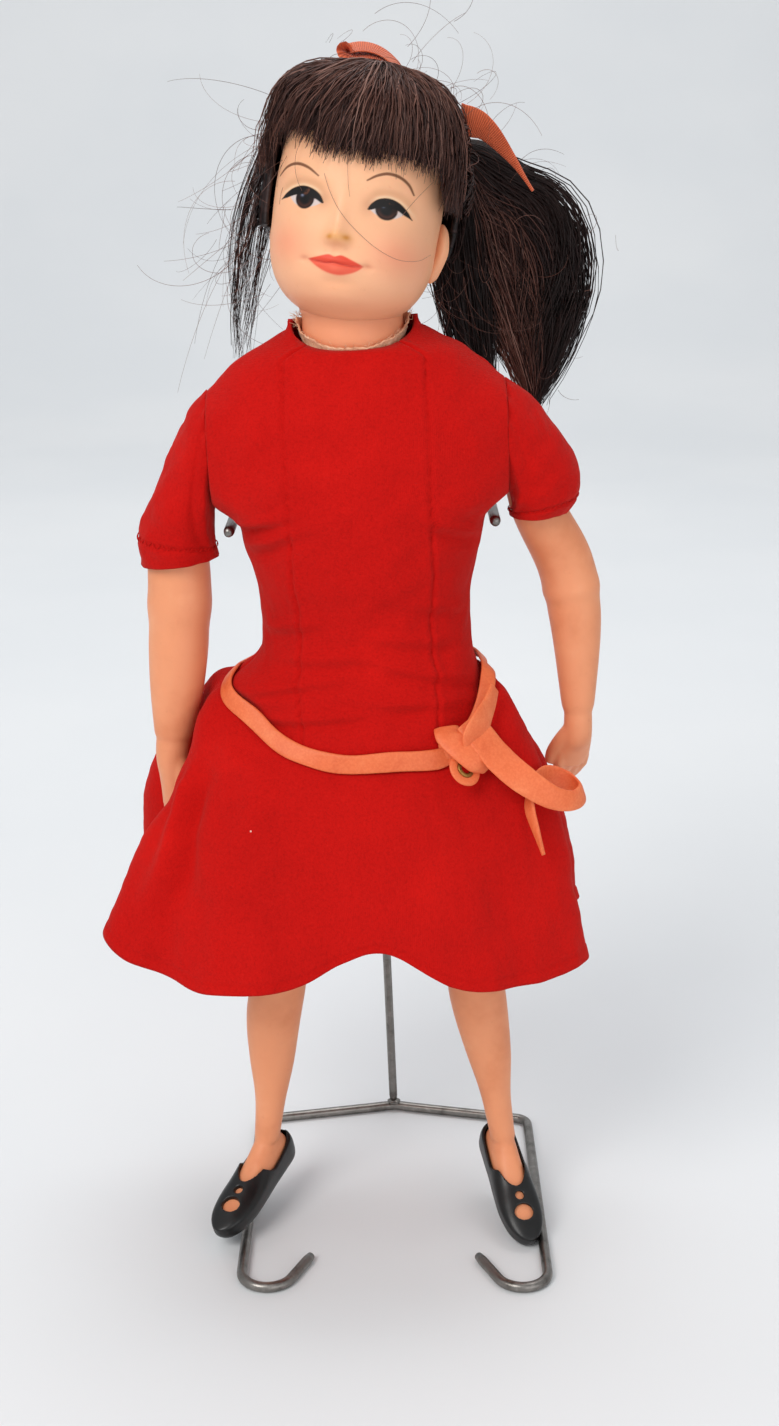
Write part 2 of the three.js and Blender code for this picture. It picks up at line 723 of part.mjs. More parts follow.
// The hollow body, before it is split into front and back shells
function bodyShell() {
  const crotch = HIP_HEIGHT - HIP_BALL_RADIUS;
  const cloth = CLOTH + DRESS_EASE;
  const outer = bodyForm(cloth, crotch, NECK_SEAT_HEIGHT, BODY_SIDES)
    .intersect(boxSolid([-SHOULDER_PLANE, -FAR, 0], [SHOULDER_PLANE, FAR, TALL]));
  const innerPlane = SHOULDER_PLANE - SHELL_WALL;
  const innerTop = NECK_SEAT_HEIGHT - SHELL_WALL;
  const inner = bodyForm(cloth + SHELL_WALL, crotch + SHELL_WALL, innerTop, BODY_SIDES - 8)
    .intersect(boxSolid([-innerPlane, -FAR, 0], [innerPlane, FAR, TALL]));
  let skin = outer;
  let hollow = inner;
  for (const side of [-1, 1]) {
    skin = skin.subtract(thighSpace(side, 0));
    hollow = hollow.subtract(thighSpace(side, SHELL_WALL));
  }
  const armHoles = solid(crossBar(ARM_STEM_RADIUS + FIT_GAP, -FAR, FAR, SHOULDER_HEIGHT, 20));
  const hipHoles = solid(crossBar(LEG_STEM_RADIUS + FIT_GAP, -HIP_REACH, HIP_REACH, HIP_HEIGHT, 16));
  const neckHole = new THREE.CylinderGeometry(NECK_STEM_RADIUS + FIT_GAP, NECK_STEM_RADIUS + FIT_GAP, 20, 20);
  neckHole.rotateX(PI / 2);
  neckHole.translate(0, 0, NECK_SEAT_HEIGHT);
  return without(skin, hollow, armHoles, hipHoles, solid(neckHole));
}

// The neck post: a flange under the body's top, a stem through it and a knob inside the head
function neckPost() {
  const flangeTop = NECK_SEAT_HEIGHT - SHELL_WALL - SEAM_GAP;
  const knobBottom = NECK_SEAT_HEIGHT + FIT_GAP + NECK_WALL + FIT_GAP;
  const outline = [
    [0, flangeTop - FLANGE_THICKNESS],
    [NECK_KNOB_RADIUS, flangeTop - FLANGE_THICKNESS],
    [NECK_KNOB_RADIUS, flangeTop],
    [NECK_STEM_RADIUS, flangeTop],
    [NECK_STEM_RADIUS, knobBottom],
    [NECK_KNOB_RADIUS, knobBottom],
    [NECK_KNOB_RADIUS, knobBottom + 2],
    [NECK_KNOB_RADIUS * 0.72, knobBottom + 5],
    [0, knobBottom + 6],
  ];
  const geometry = new THREE.LatheGeometry(outline.map(([x, y]) => new THREE.Vector2(x, y)), 14);
  geometry.rotateX(PI / 2);
  return geometry;
}

// A point of the head in its own frame: angle 0 is the face, rise is -90 (chin) to 90 (crown)
function headPoint(angle, rise, inset, relief = true) {
  const up = HEAD_HALF_HEIGHT * sin(rise);
  const [wide, front, back] = headTaper(up);
  const round = cos(rise) ** 0.85;
  const depth = cos(angle) > 0 ? HEAD_FRONT * front : HEAD_BACK * back;
  const point = vector(
    HEAD_HALF_WIDTH * wide * round * squared(sin(angle), 0.94),
    -depth * round * squared(cos(angle), 0.94),
    up,
  );
  const outward = vector(
    point.x / HEAD_HALF_WIDTH ** 2,
    point.y / HEAD_FRONT ** 2,
    point.z / HEAD_HALF_HEIGHT ** 2,
  ).normalize();
  point.addScaledVector(outward, -inset);
  if (relief && cos(angle) > 0) {
    for (const spot of FACE_RELIEF) {
      const across = (point.x - spot.across) / spot.wide;
      const upward = (point.z - spot.up) / spot.tall;
      point.y -= spot.out * exp(-(across ** 2 + upward ** 2) / 2);
    }
  }
  return point;
}

function headForm(columns, rows, inset, relief) {
  const rings = [];
  for (let row = 1; row < rows; row += 1) {
    const ring = [];
    for (let column = 0; column < columns; column += 1) {
      ring.push(headPoint((column / columns) * 2 * PI, PI * (row / rows - 0.5), inset, relief));
    }
    rings.push(ring);
  }
  return loft(rings);
}

const headPlace = new THREE.Matrix4().compose(
  HEAD_CENTRE,
  new THREE.Quaternion().setFromEuler(
    new THREE.Euler(radians(HEAD_PITCH), radians(HEAD_ROLL), radians(HEAD_YAW), 'YXZ'),
  ),
  vector(1, 1, 1),
);

function onHead(geometry) {
  return geometry.applyMatrix4(headPlace);
}

// A round neck standing on the body, from one height to another
function neckBar(radius, bottom, top) {
  const geometry = new THREE.CylinderGeometry(radius, radius, top - bottom, 20);
  geometry.rotateX(PI / 2);
  geometry.translate(0, 0, (bottom + top) / 2);
  return solid(geometry);
}

// The hollow vinyl head with its neck, ears and the hole that snaps over the post
function head() {
  const seat = NECK_SEAT_HEIGHT + FIT_GAP;
  const skin = solid(onHead(headForm(26, 17, 0, true)));
  const hollow = solid(onHead(headForm(12, 9, HEAD_WALL, false)));
  const ears = [-1, 1].map((side) => {
    const ear = ball([0, 0, 0], EAR_REACH, 8, 6);
    ear.rotateZ(side * radians(EAR_TURN));
    ear.translate(side * EAR_PLACE[0], EAR_PLACE[1], EAR_PLACE[2]);
    return solid(onHead(ear));
  });
  const hole = neckBar(NECK_STEM_RADIUS + FIT_GAP, seat - 5, seat + 10);
  const outer = joined(skin, neckBar(NECK_RADIUS, seat, seat + 16), ...ears);
  const inner = joined(hollow, neckBar(NECK_RADIUS - NECK_WALL, seat + NECK_WALL, seat + 16));
  return geometryOf(without(outer, inner, hole));
}

// Hair over the skull, with shallow locks, between the scalp and its own thickness
function hairForm(thickness, locks) {
  const rings = [];
  const [columns, rows] = [36, 12];
  for (let row = 1; row < rows; row += 1) {
    const ring = [];
    for (let column = 0; column < columns; column += 1) {
      const angle = (column / columns) * 2 * PI;
      const lock = locks * (column % 2) * cos(PI * (row / rows - 0.5));
      ring.push(headPoint(angle, PI * (row / rows - 0.5), -thickness - lock, false));
    }
    rings.push(ring);
  }
  return solid(loft(rings));
}

// The scalp that the hair stays clear of, ears and face relief included
function scalp() {
  return solid(headForm(26, 17, -FIT_GAP, true));
}

// The side and back hair, drawn back off the face and over the ears
function hairCap() {
  const shell = hairForm(HAIR_THICKNESS, CAP_LOCKS).subtract(scalp());
  const faceCut = boxSolid([-FAR, -FAR, -FAR], [FAR, -HAIRLINE_DEPTH + SEAM_GAP / 2, FAR]);
  const earCut = boxSolid([-FAR, -FAR, -FAR], [FAR, EAR_HAIR_DEPTH, EAR_HAIR_HEIGHT]);
  const napeCut = box([-FAR, -FAR, -FAR], [FAR, FAR, 0]);
  napeCut.rotateX(radians(NAPE_SLANT));
  napeCut.translate(0, 0, NAPE_HEIGHT);
  const cap = without(shell, faceCut, earCut, solid(napeCut));
  return onHead(geometryOf(cap));
}

// The fringe: a slab of hair over the forehead, cut on a slant
function bangs() {
  const shell = hairForm(BANGS_THICKNESS, BANGS_LOCKS).subtract(scalp());
  const backCut = boxSolid([-FAR, -HAIRLINE_DEPTH - SEAM_GAP / 2, -FAR], [FAR, FAR, FAR]);
  const edgeCut = box([-FAR, -FAR, -FAR], [FAR, FAR, 0]);
  edgeCut.rotateY(radians(BANGS_SLANT));
  edgeCut.translate(0, 0, BANGS_EDGE_HEIGHT);
  return onHead(geometryOf(without(shell, backCut, solid(edgeCut))));
}

// A hanging lock of hair, ridged by its strands and cut back from the hair on the skull
function lockOfHair({ route, size }, steps, sides, ridge) {
  const curve = smoothCurve(route);
  const lock = sweep(curve, vector(0, 1, 0), steps, sides, (t, angle) => {
    const [wide, deep] = size(t);
    const strand = 1 + ridge * cos((angle * sides) / 2) * sin(PI * t);
    return [wide * strand * cos(angle), deep * strand * sin(angle)];
  });
  const skullHair = solid(onHead(geometryOf(hairForm(HAIR_THICKNESS + FIT_GAP, CAP_LOCKS))));
  return geometryOf(solid(lock).subtract(skullHair));
}

// A ribbon: a thin strip along a route, with its width square to the route and nearest one direction
function strip(points, across, width, thickness, steps) {
  const curve = smoothCurve(points);
  return sheet(steps, 1, (u, v, skin) => {
    const tangent = curve.getTangent(u);
    const side = across.clone().addScaledVector(tangent, -across.dot(tangent)).normalize();
    const outward = tangent.clone().cross(side);
    const point = curve.getPoint(u).addScaledVector(side, ((v * 2 - 1) * width) / 2);
    return point.addScaledVector(outward, (skin - 0.5) * thickness);
  });
}

// The ribbon wound round the ponytail where it leaves the head
function ribbonWrap() {
  const curve = smoothCurve(PONYTAIL.route);
  return sheet(16, 1, (u, v, skin) => {
    const t = lerp(WRAP_FROM, WRAP_TO, v);
    const [wide, deep] = PONYTAIL.size(t);
    const lift = FIT_GAP + (1 - skin) * RIBBON_THICKNESS;
    const angle = u * 2 * PI;
    return beside(curve, vector(0, 1, 0), t, (wide + lift) * cos(angle), (deep + lift) * sin(angle));
  }, true);
}

// A place on the ribbon's knot, which sits on top of the wound part, from the knot's middle
function onRibbonKnot(offset) {
  const t = (WRAP_FROM + WRAP_TO) / 2;
  const [wide] = PONYTAIL.size(t);
  const height = wide + FIT_GAP + RIBBON_THICKNESS + SEAM_GAP + RIBBON_KNOT_REACH[2];
  return beside(smoothCurve(PONYTAIL.route), vector(0, 1, 0), t, -height, 0).add(vector(...offset)).toArray();
}

// The ribbon's free pieces, from the knot along their own routes
function ribbonLoop() {
  const [start, end] = LOOP_ENDS.map(onRibbonKnot);
  return strip([start, ...RIBBON_LOOP, end], vector(0, 1, 0.3), RIBBON_WIDTH, RIBBON_THICKNESS, 14);
}

function ribbonTail() {
  const route = [onRibbonKnot(TAIL_END), ...RIBBON_TAIL];
  return strip(route, vector(0.3, 1, 0), RIBBON_WIDTH, RIBBON_THICKNESS, 10);
}

function ball(centre, reach, columns, rows) {
  const geometry = new THREE.SphereGeometry(1, columns, rows);
  geometry.scale(...reach);
  return geometry.translate(...centre);
}

// The pale lining that shows inside the neckline
function neckFacing() {
  return sheet(24, 1, (u, v, skin) => {
    const angle = u * 2 * PI - PI;
    const radius = NECK_RADIUS + FIT_GAP + (1 - skin) * FACING_THICKNESS;
    const height = neckline(angle) + lerp(-FACING_DEPTH, FACING_SHOW, v);
    return vector(radius * sin(angle), -radius * cos(angle), height);
  }, true);
}

// A place on the belt line: how far round, above the line and out from the dress
function onBelt(angle, rise, out) {
  const point = dressPoint(beltLine(angle), angle, 0);
  const outward = vector(point.x, point.y * 1.6, 0).normalize();
  point.z += rise;
  return point.addScaledVector(outward, out);
}

// The knot where the strap is tied, standing out from the belt
function beltKnot() {
  const centre = onBelt(BELT_KNOT_ANGLE, -KNOT_DROP, KNOT_STAND_OFF);
  const knot = ball([0, 0, 0], BELT_KNOT_REACH, 10, 7);
  knot.rotateZ(BELT_KNOT_ANGLE);
  return knot.translate(centre.x, centre.y, centre.z);
}

// The ring at the strap's end, hanging under the knot
function beltEyelet() {
  const centre = onBelt(BELT_KNOT_ANGLE - EYELET_ANGLE, -EYELET_DROP, EYELET_STAND_OFF);
  const ring = new THREE.TorusGeometry(EYELET_RADIUS, EYELET_WIRE, 6, 14);
  ring.rotateX(PI / 2);
  ring.rotateZ(BELT_KNOT_ANGLE);
  return ring.translate(centre.x, centre.y, centre.z);
}

// Height of the neckline: low in front, highest at the sides
function neckline(angle) {
  const facing = cos(angle);
  const { front, side, back } = NECKLINE_RISE;
  return NECK_SEAT_HEIGHT + lerp(side, facing > 0 ? front : back, abs(facing));
}

// A panel of the bodice between two seams, from the belt line up to the neckline
function bodicePanel(from, to, columns) {
  const nominal = [from, to].map((seam) => seam(BELT_SIDE_HEIGHT + 20));
  const lowest = NECK_SEAT_HEIGHT + NECKLINE_RISE.front;
  const levels = BODY_LEVELS.filter((height) => height > BELT_SIDE_HEIGHT + 5 && height < lowest);
  const rows = levels.length + 1;
  const panel = sheet(columns, rows, (u, v, skin) => {
    const lean = lerp(nominal[0], nominal[1], u);
    const bottom = beltLine(lean) + WAIST_GAP / 2;
    const top = neckline(lean);
    const height = [bottom, ...levels, top][Math.round(v * rows)];
    const [halfWidth] = bodySection(height);
    const trim = SEAM_GAP / 2 / halfWidth;
    const angle = lerp(from(height) + trim, to(height) - trim, u);
    return dressPoint(height, angle, skin * CLOTH);
  });
  const plane = ARM_PLANE - SEAM_GAP;
  return geometryOf(solid(panel).intersect(boxSolid([-plane, -FAR, 0], [plane, FAR, TALL])));
}

// Seams of the bodice, as angles round the body at a height
const seamAt = {
  front: (height) => {
    const [halfWidth] = bodySection(height);
    const share = min(PRINCESS_SEAM_X / halfWidth, PRINCESS_SEAM_SHARE);
    return asin(share ** (BODY_SQUARENESS / 2));
  },
  side: () => PI / 2,
  back: () => PI,
};

// A panel of the bodice on one side, between seams given for the left side
function sidePanel(from, to, side, columns) {
  if (side > 0) {
    return bodicePanel(from, to, columns);
  }
  return bodicePanel((height) => -to(height), (height) => -from(height), columns);
}

// A gore of the skirt between two angles
function skirtGore(from, to, columns, rows) {
  const trim = SEAM_GAP / 2 / 31;
  return sheet(columns, rows, (u, v, skin) => {
    const angle = lerp(from + trim, to - trim, u);
    const point = skirtPoint(angle, v, skin * CLOTH);
    point.z -= (WAIST_GAP / 2) * (1 - v);
    return point;
  });
}

// The strap round the hips, lying on the dress along the belt line
function beltStrap() {
  const rises = [-1.6, 0, BELT_WIDTH - 1.6];
  return sheet(38, 2, (u, v, skin) => {
    const angle = u * 2 * PI - PI;
    const line = beltLine(angle);
    const rise = rises[Math.round(v * 2)];
    const dress = rise < 0
      ? skirtPoint(angle, -rise / (line - HEM_HEIGHT), 0)
      : dressPoint(line + rise, angle, 0);
    const outward = vector(dress.x, dress.y * 1.6, 0).normalize();
    const lift = FIT_GAP + 0.15 + (1 - skin) * BELT_THICKNESS;
    dress.z = line + rise;
    return dress.addScaledVector(outward, lift);
  }, true);
}

// A sleeve: a curved tube from the armhole down to its hem, open at both ends
function sleeve(name, side) {
  const { crown: crownLine, underarm: underarmLine, back } = SLEEVES[name];
  const crown = smoothCurve(crownLine.map(([x, z]) => [x, 0, z]));
  const underarm = smoothCurve(underarmLine.map(([x, z]) => [x, 0, z]));
  const tube = sheet(18, 6, (u, v, skin) => {
    const top = crown.getPoint(v);
    const bottom = underarm.getPoint(v);
    const middle = top.clone().lerp(bottom, 0.5);
    const half = top.sub(bottom).multiplyScalar(0.5);
    const depth = lerp(ARMHOLE_DEPTH, CUFF_DEPTH, v) + SLEEVE_PUFF * sin(PI * v) - skin * CLOTH;
    const turn = u * 2 * PI;
    half.setLength(half.length() - skin * CLOTH);
    const point = middle.addScaledVector(half, cos(turn));
    point.y += depth * sin(turn) + back * v;
    point.x = max(point.x, ARM_PLANE);
    return point;
  }, true);
  return mirroredTo(tube, side);
}

// One finger or thumb, tapered, between two places
function finger(from, to, thick, thin) {
  const curve = smoothCurve([from, from.map((value, axis) => lerp(value, to[axis], 0.5)), to]);
  return solid(sweep(curve, vector(0, 1, 0), 2, 5, (t, angle) => {
    const radius = lerp(thick, thin, t) * (t > 0.99 ? 0.55 : 1);
    return [radius * cos(angle), radius * sin(angle)];
  }));
}

// An arm with its hand, and the stem and flange that hold it in the shoulder
function arm(name, side) {
  const route = ARM_ROUTES[name];
  const curve = smoothCurve(route);
  const round = ARM_ROUND[name];
  const rounds = round.length - 1;
  const limb = solid(sweep(curve, vector(0, 1, 0), 11, 12, (t, angle) => {
    const step = min(Math.floor(t * rounds), rounds - 1);
    const radius = lerp(round[step], round[step + 1], t * rounds - step);
    const blunt = t < 0.01 ? 0.94 : 1;
    return [radius * blunt * cos(angle), radius * blunt * 0.97 * sin(angle)];
  }));
  const wrist = route[route.length - 1];
  const tip = HAND_TIPS[name];
  const [turnX, turnY] = [cos(radians(HAND_TURNS[name])), sin(radians(HAND_TURNS[name]))];
  const along = (share, outward, forward) => [
    lerp(wrist[0], tip[0], share) + outward * turnX - forward * turnY,
    lerp(wrist[1], tip[1], share) + outward * turnY + forward * turnX,
    lerp(wrist[2], tip[2], share),
  ];
  const palmLine = smoothCurve([along(-0.08, 0, 0), along(0.25, 0, 0), along(0.56, 0, 0)]);
  const palm = solid(sweep(palmLine, vector(0, 1, 0), 3, 8, (t, angle) => {
    const wide = lerp(PALM_REACH.wrist, PALM_REACH.knuckles, sin((PI / 2) * t)) * sin(angle);
    const thick = lerp(PALM_REACH.wrist, PALM_REACH.thick, sin((PI / 2) * t)) * cos(angle);
    return [wide * turnY - thick * turnX, thick * turnY + wide * turnX];
  }));
  const fingers = FINGERS.map(({ spread, length }) => {
    return finger(along(0.5, 0, spread), along(length, 0.6, spread * 0.82), 1.5, 1.0);
  });
  const thumb = finger(along(0.2, -0.6, -3), along(0.58, -1.6, -6.6), 1.7, 1.2);
  const flangeFace = SHOULDER_PLANE - SHELL_WALL - FIT_GAP;
  const stem = solid(crossBar(ARM_STEM_RADIUS, flangeFace - 0.3, ARM_PLANE + 3, SHOULDER_HEIGHT, 16));
  const flangeBack = flangeFace - FLANGE_THICKNESS;
  const flange = solid(crossBar(ARM_FLANGE_RADIUS, flangeBack, flangeFace, SHOULDER_HEIGHT, 16));
  const outside = boxSolid([ARM_PLANE, -FAR, 0], [2 * FAR, FAR, TALL]);
  const body = joined(joined(limb, palm, ...fingers, thumb).intersect(outside), stem, flange);
  return mirroredTo(geometryOf(body), side);
}

// A geometry modelled at +X, kept there or mirrored to -X
function mirroredTo(geometry, side) {
  if (side > 0) {
    return geometry;
  }
  geometry.scale(-1, 1, 1);
  const index = geometry.index.array;
  for (let corner = 0; corner < index.length; corner += 3) {
    [index[corner], index[corner + 1]] = [index[corner + 1], index[corner]];
  }
  return geometry;
}

// Where a foot's frame lies: its origin at the heel, its own +X forward along the sole
function footPlace(name) {
  const { yaw, pitch } = FOOT_POSES[name];
  const splay = radians(LEG_SPLAY[name]);
  const ankle = vector(HIP_REACH + LEG_LENGTH * sin(splay), 0, HIP_HEIGHT - LEG_LENGTH * cos(splay));
  const matrix = new THREE.Matrix4().makeTranslation(ankle.x, ankle.y, ankle.z);
  matrix.multiply(new THREE.Matrix4().makeRotationZ(radians(yaw - 90)));
  matrix.multiply(new THREE.Matrix4().makeRotationY(radians(pitch)));
  return matrix.multiply(new THREE.Matrix4().makeTranslation(-ANKLE_FROM_HEEL, 0, -ANKLE_HEIGHT));
}

// The foot's form from heel to toe, grown by a margin and kept above a sole plane
function footForm(margin, soleMargin, sides) {
  const rings = [];
  const stations = [0, 1.5, 4, 8, 12, 17, 22, 27, 31, 34, 36];
  for (const distance of stations) {
    const [halfWidth, sole, instep] = footSection(distance);
    const end = distance === 0 || distance === FOOT_LENGTH ? margin : 0;
    const place = distance === 0 ? -end : distance + end;
    const ring = [];
    for (let side = 0; side < sides; side += 1) {
      const turn = (side / sides) * 2 * PI;
      const above = (instep + margin) * sin(turn);
      const below = (sole + soleMargin) * squared(sin(turn), 0.45);
      const height = sin(turn) > 0 ? above : below;
      ring.push(vector(place, (halfWidth + margin) * squared(cos(turn), 0.85), height));
    }
    rings.push(ring);
  }
  return loft(rings);
}

// A leg with its foot, and the stem and flange that hold it in the hip
function leg(name, side) {
  const splay = radians(LEG_SPLAY[name]);
  const rings = [];
  for (const share of LEG_RINGS) {
    const below = share * LEG_LENGTH;
    const [shift, halfWidth, front, back] = legSection(share);
    const ring = [];
    for (let turn = 0; turn < 14; turn += 1) {
      const angle = (turn / 14) * 2 * PI;
      const depth = cos(angle) > 0 ? front : back;
      ring.push(vector(
        HIP_REACH + below * sin(splay) + shift + halfWidth * sin(angle),
        -depth * cos(angle),
        HIP_HEIGHT - below * cos(splay),
      ));
    }
    rings.push(ring);
  }
  const limb = solid(loft(rings));
  const foot = solid(footForm(0, 0, 10).applyMatrix4(footPlace(name)));
  const face = CROTCH_HALF_WIDTH + FIT_GAP;
  const hip = solid(crossBar(HIP_BALL_RADIUS, face, 40, HIP_HEIGHT, HIP_SIDES))
    .intersect(bodyForm(CLOTH + DRESS_EASE, HIP_HEIGHT - HIP_BALL_RADIUS - 2, HIP_HEIGHT + 20, BODY_SIDES));
  const flangeFace = CROTCH_HALF_WIDTH - SHELL_WALL - FIT_GAP;
  const stem = solid(crossBar(LEG_STEM_RADIUS, flangeFace - 0.3, face + 2, HIP_HEIGHT, 16));
  const flangeBack = flangeFace - FLANGE_THICKNESS;
  const flange = solid(crossBar(LEG_FLANGE_RADIUS, flangeBack, flangeFace, HIP_HEIGHT, 16));
  return mirroredTo(geometryOf(joined(limb, foot, hip, stem, flange)), side);
}

// A soft flat shoe: a hollow form with an open top, and a round and an oval cut-out in its vamp
function shoe(name, side) {
  const outer = solid(footForm(FIT_GAP + SHOE_WALL, FIT_GAP + SOLE_THICKNESS, 12));
  const inner = solid(footForm(FIT_GAP, FIT_GAP, 12));
  const topline = box([-10, -20, 0], [19.5, 20, 20]);
  topline.rotateY(radians(TOPLINE_SLANT));
  topline.translate(-1, 0, TOPLINE_HEIGHT);
  const cuts = SHOE_OPENINGS.map(({ forward, reach, across, sides }) => {
    const cut = new THREE.CylinderGeometry(1, 1, 20, sides);
    cut.rotateX(PI / 2);
    cut.scale(reach, across, 1);
    cut.translate(forward, 0, 10);
    return solid(cut);
  });
  const leather = without(outer, inner, solid(topline), ...cuts);
  return mirroredTo(geometryOf(leather).applyMatrix4(footPlace(name)), side);
}

place(group, 'base_wire', baseWire(), 'steel');
place(standing, 'upright_rod', uprightRod(), 'steel');
place(figure, 'fork_wire', forkWire(), 'steel');

const shell = bodyShell();
const frontHalf = boxSolid([-FAR, -FAR, 0], [FAR, -SEAM_GAP / 2, TALL]);
const backHalf = boxSolid([-FAR, SEAM_GAP / 2, 0], [FAR, FAR, TALL]);
place(figure, 'torso_front', geometryOf(shell.intersect(frontHalf)), 'body');
place(figure, 'torso_back', geometryOf(shell.intersect(backHalf)), 'body');
place(figure, 'neck_post', neckPost(), 'body');
place(figure, 'head', head(), 'vinyl');
place(figure, 'hair_cap', hairCap(), 'hair');
place(figure, 'bangs', bangs(), 'hair');
place(figure, 'ponytail', lockOfHair(PONYTAIL, 9, 16, 0.06), 'hair');
place(figure, 'side_lock', lockOfHair(SIDE_LOCK, 5, 8, 0.08), 'hair');
place(figure, 'ribbon_wrap', ribbonWrap(), 'ribbon');
place(figure, 'ribbon_knot', ball(onRibbonKnot([0, 0, 0]), RIBBON_KNOT_REACH, 8, 6), 'ribbon');
place(figure, 'ribbon_loop', ribbonLoop(), 'ribbon');
place(figure, 'ribbon_tail', ribbonTail(), 'ribbon');

for (const [name, side] of Object.entries(SIDES)) {
  place(figure, `arm_${name}`, arm(name, side), 'vinyl');
  place(figure, `leg_${name}`, leg(name, side), 'vinyl');
  place(figure, `shoe_${name}`, shoe(name, side), 'shoe');
  place(figure, `sleeve_${name}`, sleeve(name, side), 'dress');
  place(figure, `bodice_side_front_${name}`, sidePanel(seamAt.front, seamAt.side, side, 6), 'dress');
  place(figure, `bodice_back_${name}`, sidePanel(seamAt.side, seamAt.back, side, 5), 'dress');
}

place(figure, 'bodice_front', bodicePanel((height) => -seamAt.front(height), seamAt.front, 6), 'dress');
place(figure, 'skirt_front', skirtGore(-PI / 2, PI / 2, 28, 5), 'dress');
place(figure, 'skirt_back_left', skirtGore(PI / 2, PI, 14, 5), 'dress');
place(figure, 'skirt_back_right', skirtGore(-PI, -PI / 2, 14, 5), 'dress');
place(figure, 'neck_facing', neckFacing(), 'lining');
place(figure, 'belt_strap', beltStrap(), 'belt');
place(figure, 'belt_knot', beltKnot(), 'belt');
place(figure, 'belt_tail', strip(BELT_TAIL, vector(0.3, 0.45, 1), TAIL_WIDTH, BELT_THICKNESS, 30), 'belt');
place(figure, 'belt_eyelet', beltEyelet(), 'brass');

export default group;
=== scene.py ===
# A jointed fashion doll on its wire stand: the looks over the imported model.
# Lengths are in millimetres in the doll's own upright frame until figure() places them.
import math
import bmesh
import bpy
import numpy as np
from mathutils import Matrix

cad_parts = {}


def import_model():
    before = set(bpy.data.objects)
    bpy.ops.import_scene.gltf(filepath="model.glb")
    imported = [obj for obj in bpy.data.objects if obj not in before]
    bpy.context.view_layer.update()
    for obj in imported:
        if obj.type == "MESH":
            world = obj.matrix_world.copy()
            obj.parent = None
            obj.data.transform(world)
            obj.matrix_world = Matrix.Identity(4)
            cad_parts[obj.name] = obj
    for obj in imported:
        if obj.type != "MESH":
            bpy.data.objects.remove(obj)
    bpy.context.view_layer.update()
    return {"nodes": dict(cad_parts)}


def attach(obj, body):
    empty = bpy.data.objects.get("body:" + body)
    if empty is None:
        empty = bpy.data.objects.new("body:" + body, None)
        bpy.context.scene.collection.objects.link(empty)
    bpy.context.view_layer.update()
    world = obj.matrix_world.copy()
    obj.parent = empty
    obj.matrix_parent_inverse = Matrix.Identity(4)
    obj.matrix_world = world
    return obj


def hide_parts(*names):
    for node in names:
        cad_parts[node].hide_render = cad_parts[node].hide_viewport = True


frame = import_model()

PI = math.pi
LEAN = math.radians(2.4)
ROD_STANDOFF = 55.0
rng = np.random.RandomState(7)


# Camera, light and stage

def camera():
    data = bpy.data.cameras.new("camera")
    data.lens = 48.37
    data.sensor_width = 36
    data.clip_start = 0.01
    cam = bpy.data.objects.new("camera", data)
    cam.location = (-0.0014, -0.535, 0.300)
    cam.rotation_euler = (math.radians(72.4), 0, 0)
    bpy.context.collection.objects.link(cam)
    bpy.context.scene.camera = cam


def area_light(name, place, aim, size, power, colour=(1, 1, 1)):
    data = bpy.data.lights.new(name, "AREA")
    data.shape = "DISK"
    data.size = size
    data.energy = power
    data.color = colour
    lamp = bpy.data.objects.new(name, data)
    lamp.location = place
    direction = np.array(aim) - np.array(place)
    direction = direction / np.linalg.norm(direction)
    lamp.rotation_euler = (math.acos(-direction[2]), 0, math.atan2(direction[0], -direction[1]) + PI)
    bpy.context.collection.objects.link(lamp)


# Numbers and arrays

def smoothstep(low, high, value):
    t = np.clip((value - low) / (high - low), 0, 1)
    return t * t * (3 - 2 * t)


def lerp(a, b, t):
    return a + (b - a) * t


def bell(value, at, spread):
    """One at a place, falling to nothing on both sides of it."""
    return np.exp(-((value - at) / spread) ** 2)


def spot(x, z, at_x, at_z, wide, tall):
    """The same round a place on a surface."""
    return np.exp(-(((x - at_x) / wide) ** 2 + ((z - at_z) / tall) ** 2))


def unit(vectors):
    return vectors / np.maximum(np.linalg.norm(vectors, axis=-1, keepdims=True), 1e-12)


def signed_power(value, power):
    return np.sign(value) * np.abs(value) ** power


def circle(count, start=0.0):
    return np.linspace(start, start + 2 * PI, count, endpoint=False)


def net(columns, rows, start=-PI):
    """Angles round and shares along, 0 to 1, of a closed net of points in rows and columns."""
    return np.meshgrid(circle(columns, start), np.linspace(0, 1, rows))


# Curves and tables, the same as the solids use

def profile(rows):
    """A smooth curve through rows of (position, value, value, ...)."""
    rows = np.array(rows, float)
    at, values = rows[:, 0], rows[:, 1:]

    def value(position):
        position = np.atleast_1d(np.asarray(position, float))
        t = np.clip(position, at[0], at[-1])
        i = np.clip(np.searchsorted(at, t, side="right"), 1, len(at) - 1)
        t0, t1 = at[i - 1], at[i]
        prev_i = np.where(i - 2 >= 0, i - 2, i)
        next_i = np.where(i + 1 < len(at), i + 1, i - 1)
        prev_t = np.where(i - 2 >= 0, at[np.maximum(i - 2, 0)], t1)
        next_t = np.where(i + 1 < len(at), at[np.minimum(i + 1, len(at) - 1)], t0)
        half = (t1 - t0) * 0.5
        wp, wn = half / (t0 - prev_t), half / (next_t - t1)
        p = (t - t0) / (t1 - t0)
        pp, ppp = p * p, p * p * p
        sp = -wp * ppp + 2 * wp * pp - wp * p
        s0 = (1 + wp) * ppp + (-1.5 - 2 * wp) * pp + (-0.5 + wp) * p + 1
        s1 = (-1 - wn) * ppp + (1.5 + wn) * pp + 0.5 * p
        sn = wn * ppp - wn * pp
        out = (sp[:, None] * values[prev_i] + s0[:, None] * values[i - 1]
               + s1[:, None] * values[i] + sn[:, None] * values[next_i])
        return out.T
    return value


def read(table, places):
    """Each value of a profile at an array of places, in its shape."""
    return [values.reshape(places.shape) for values in table(places.ravel())]


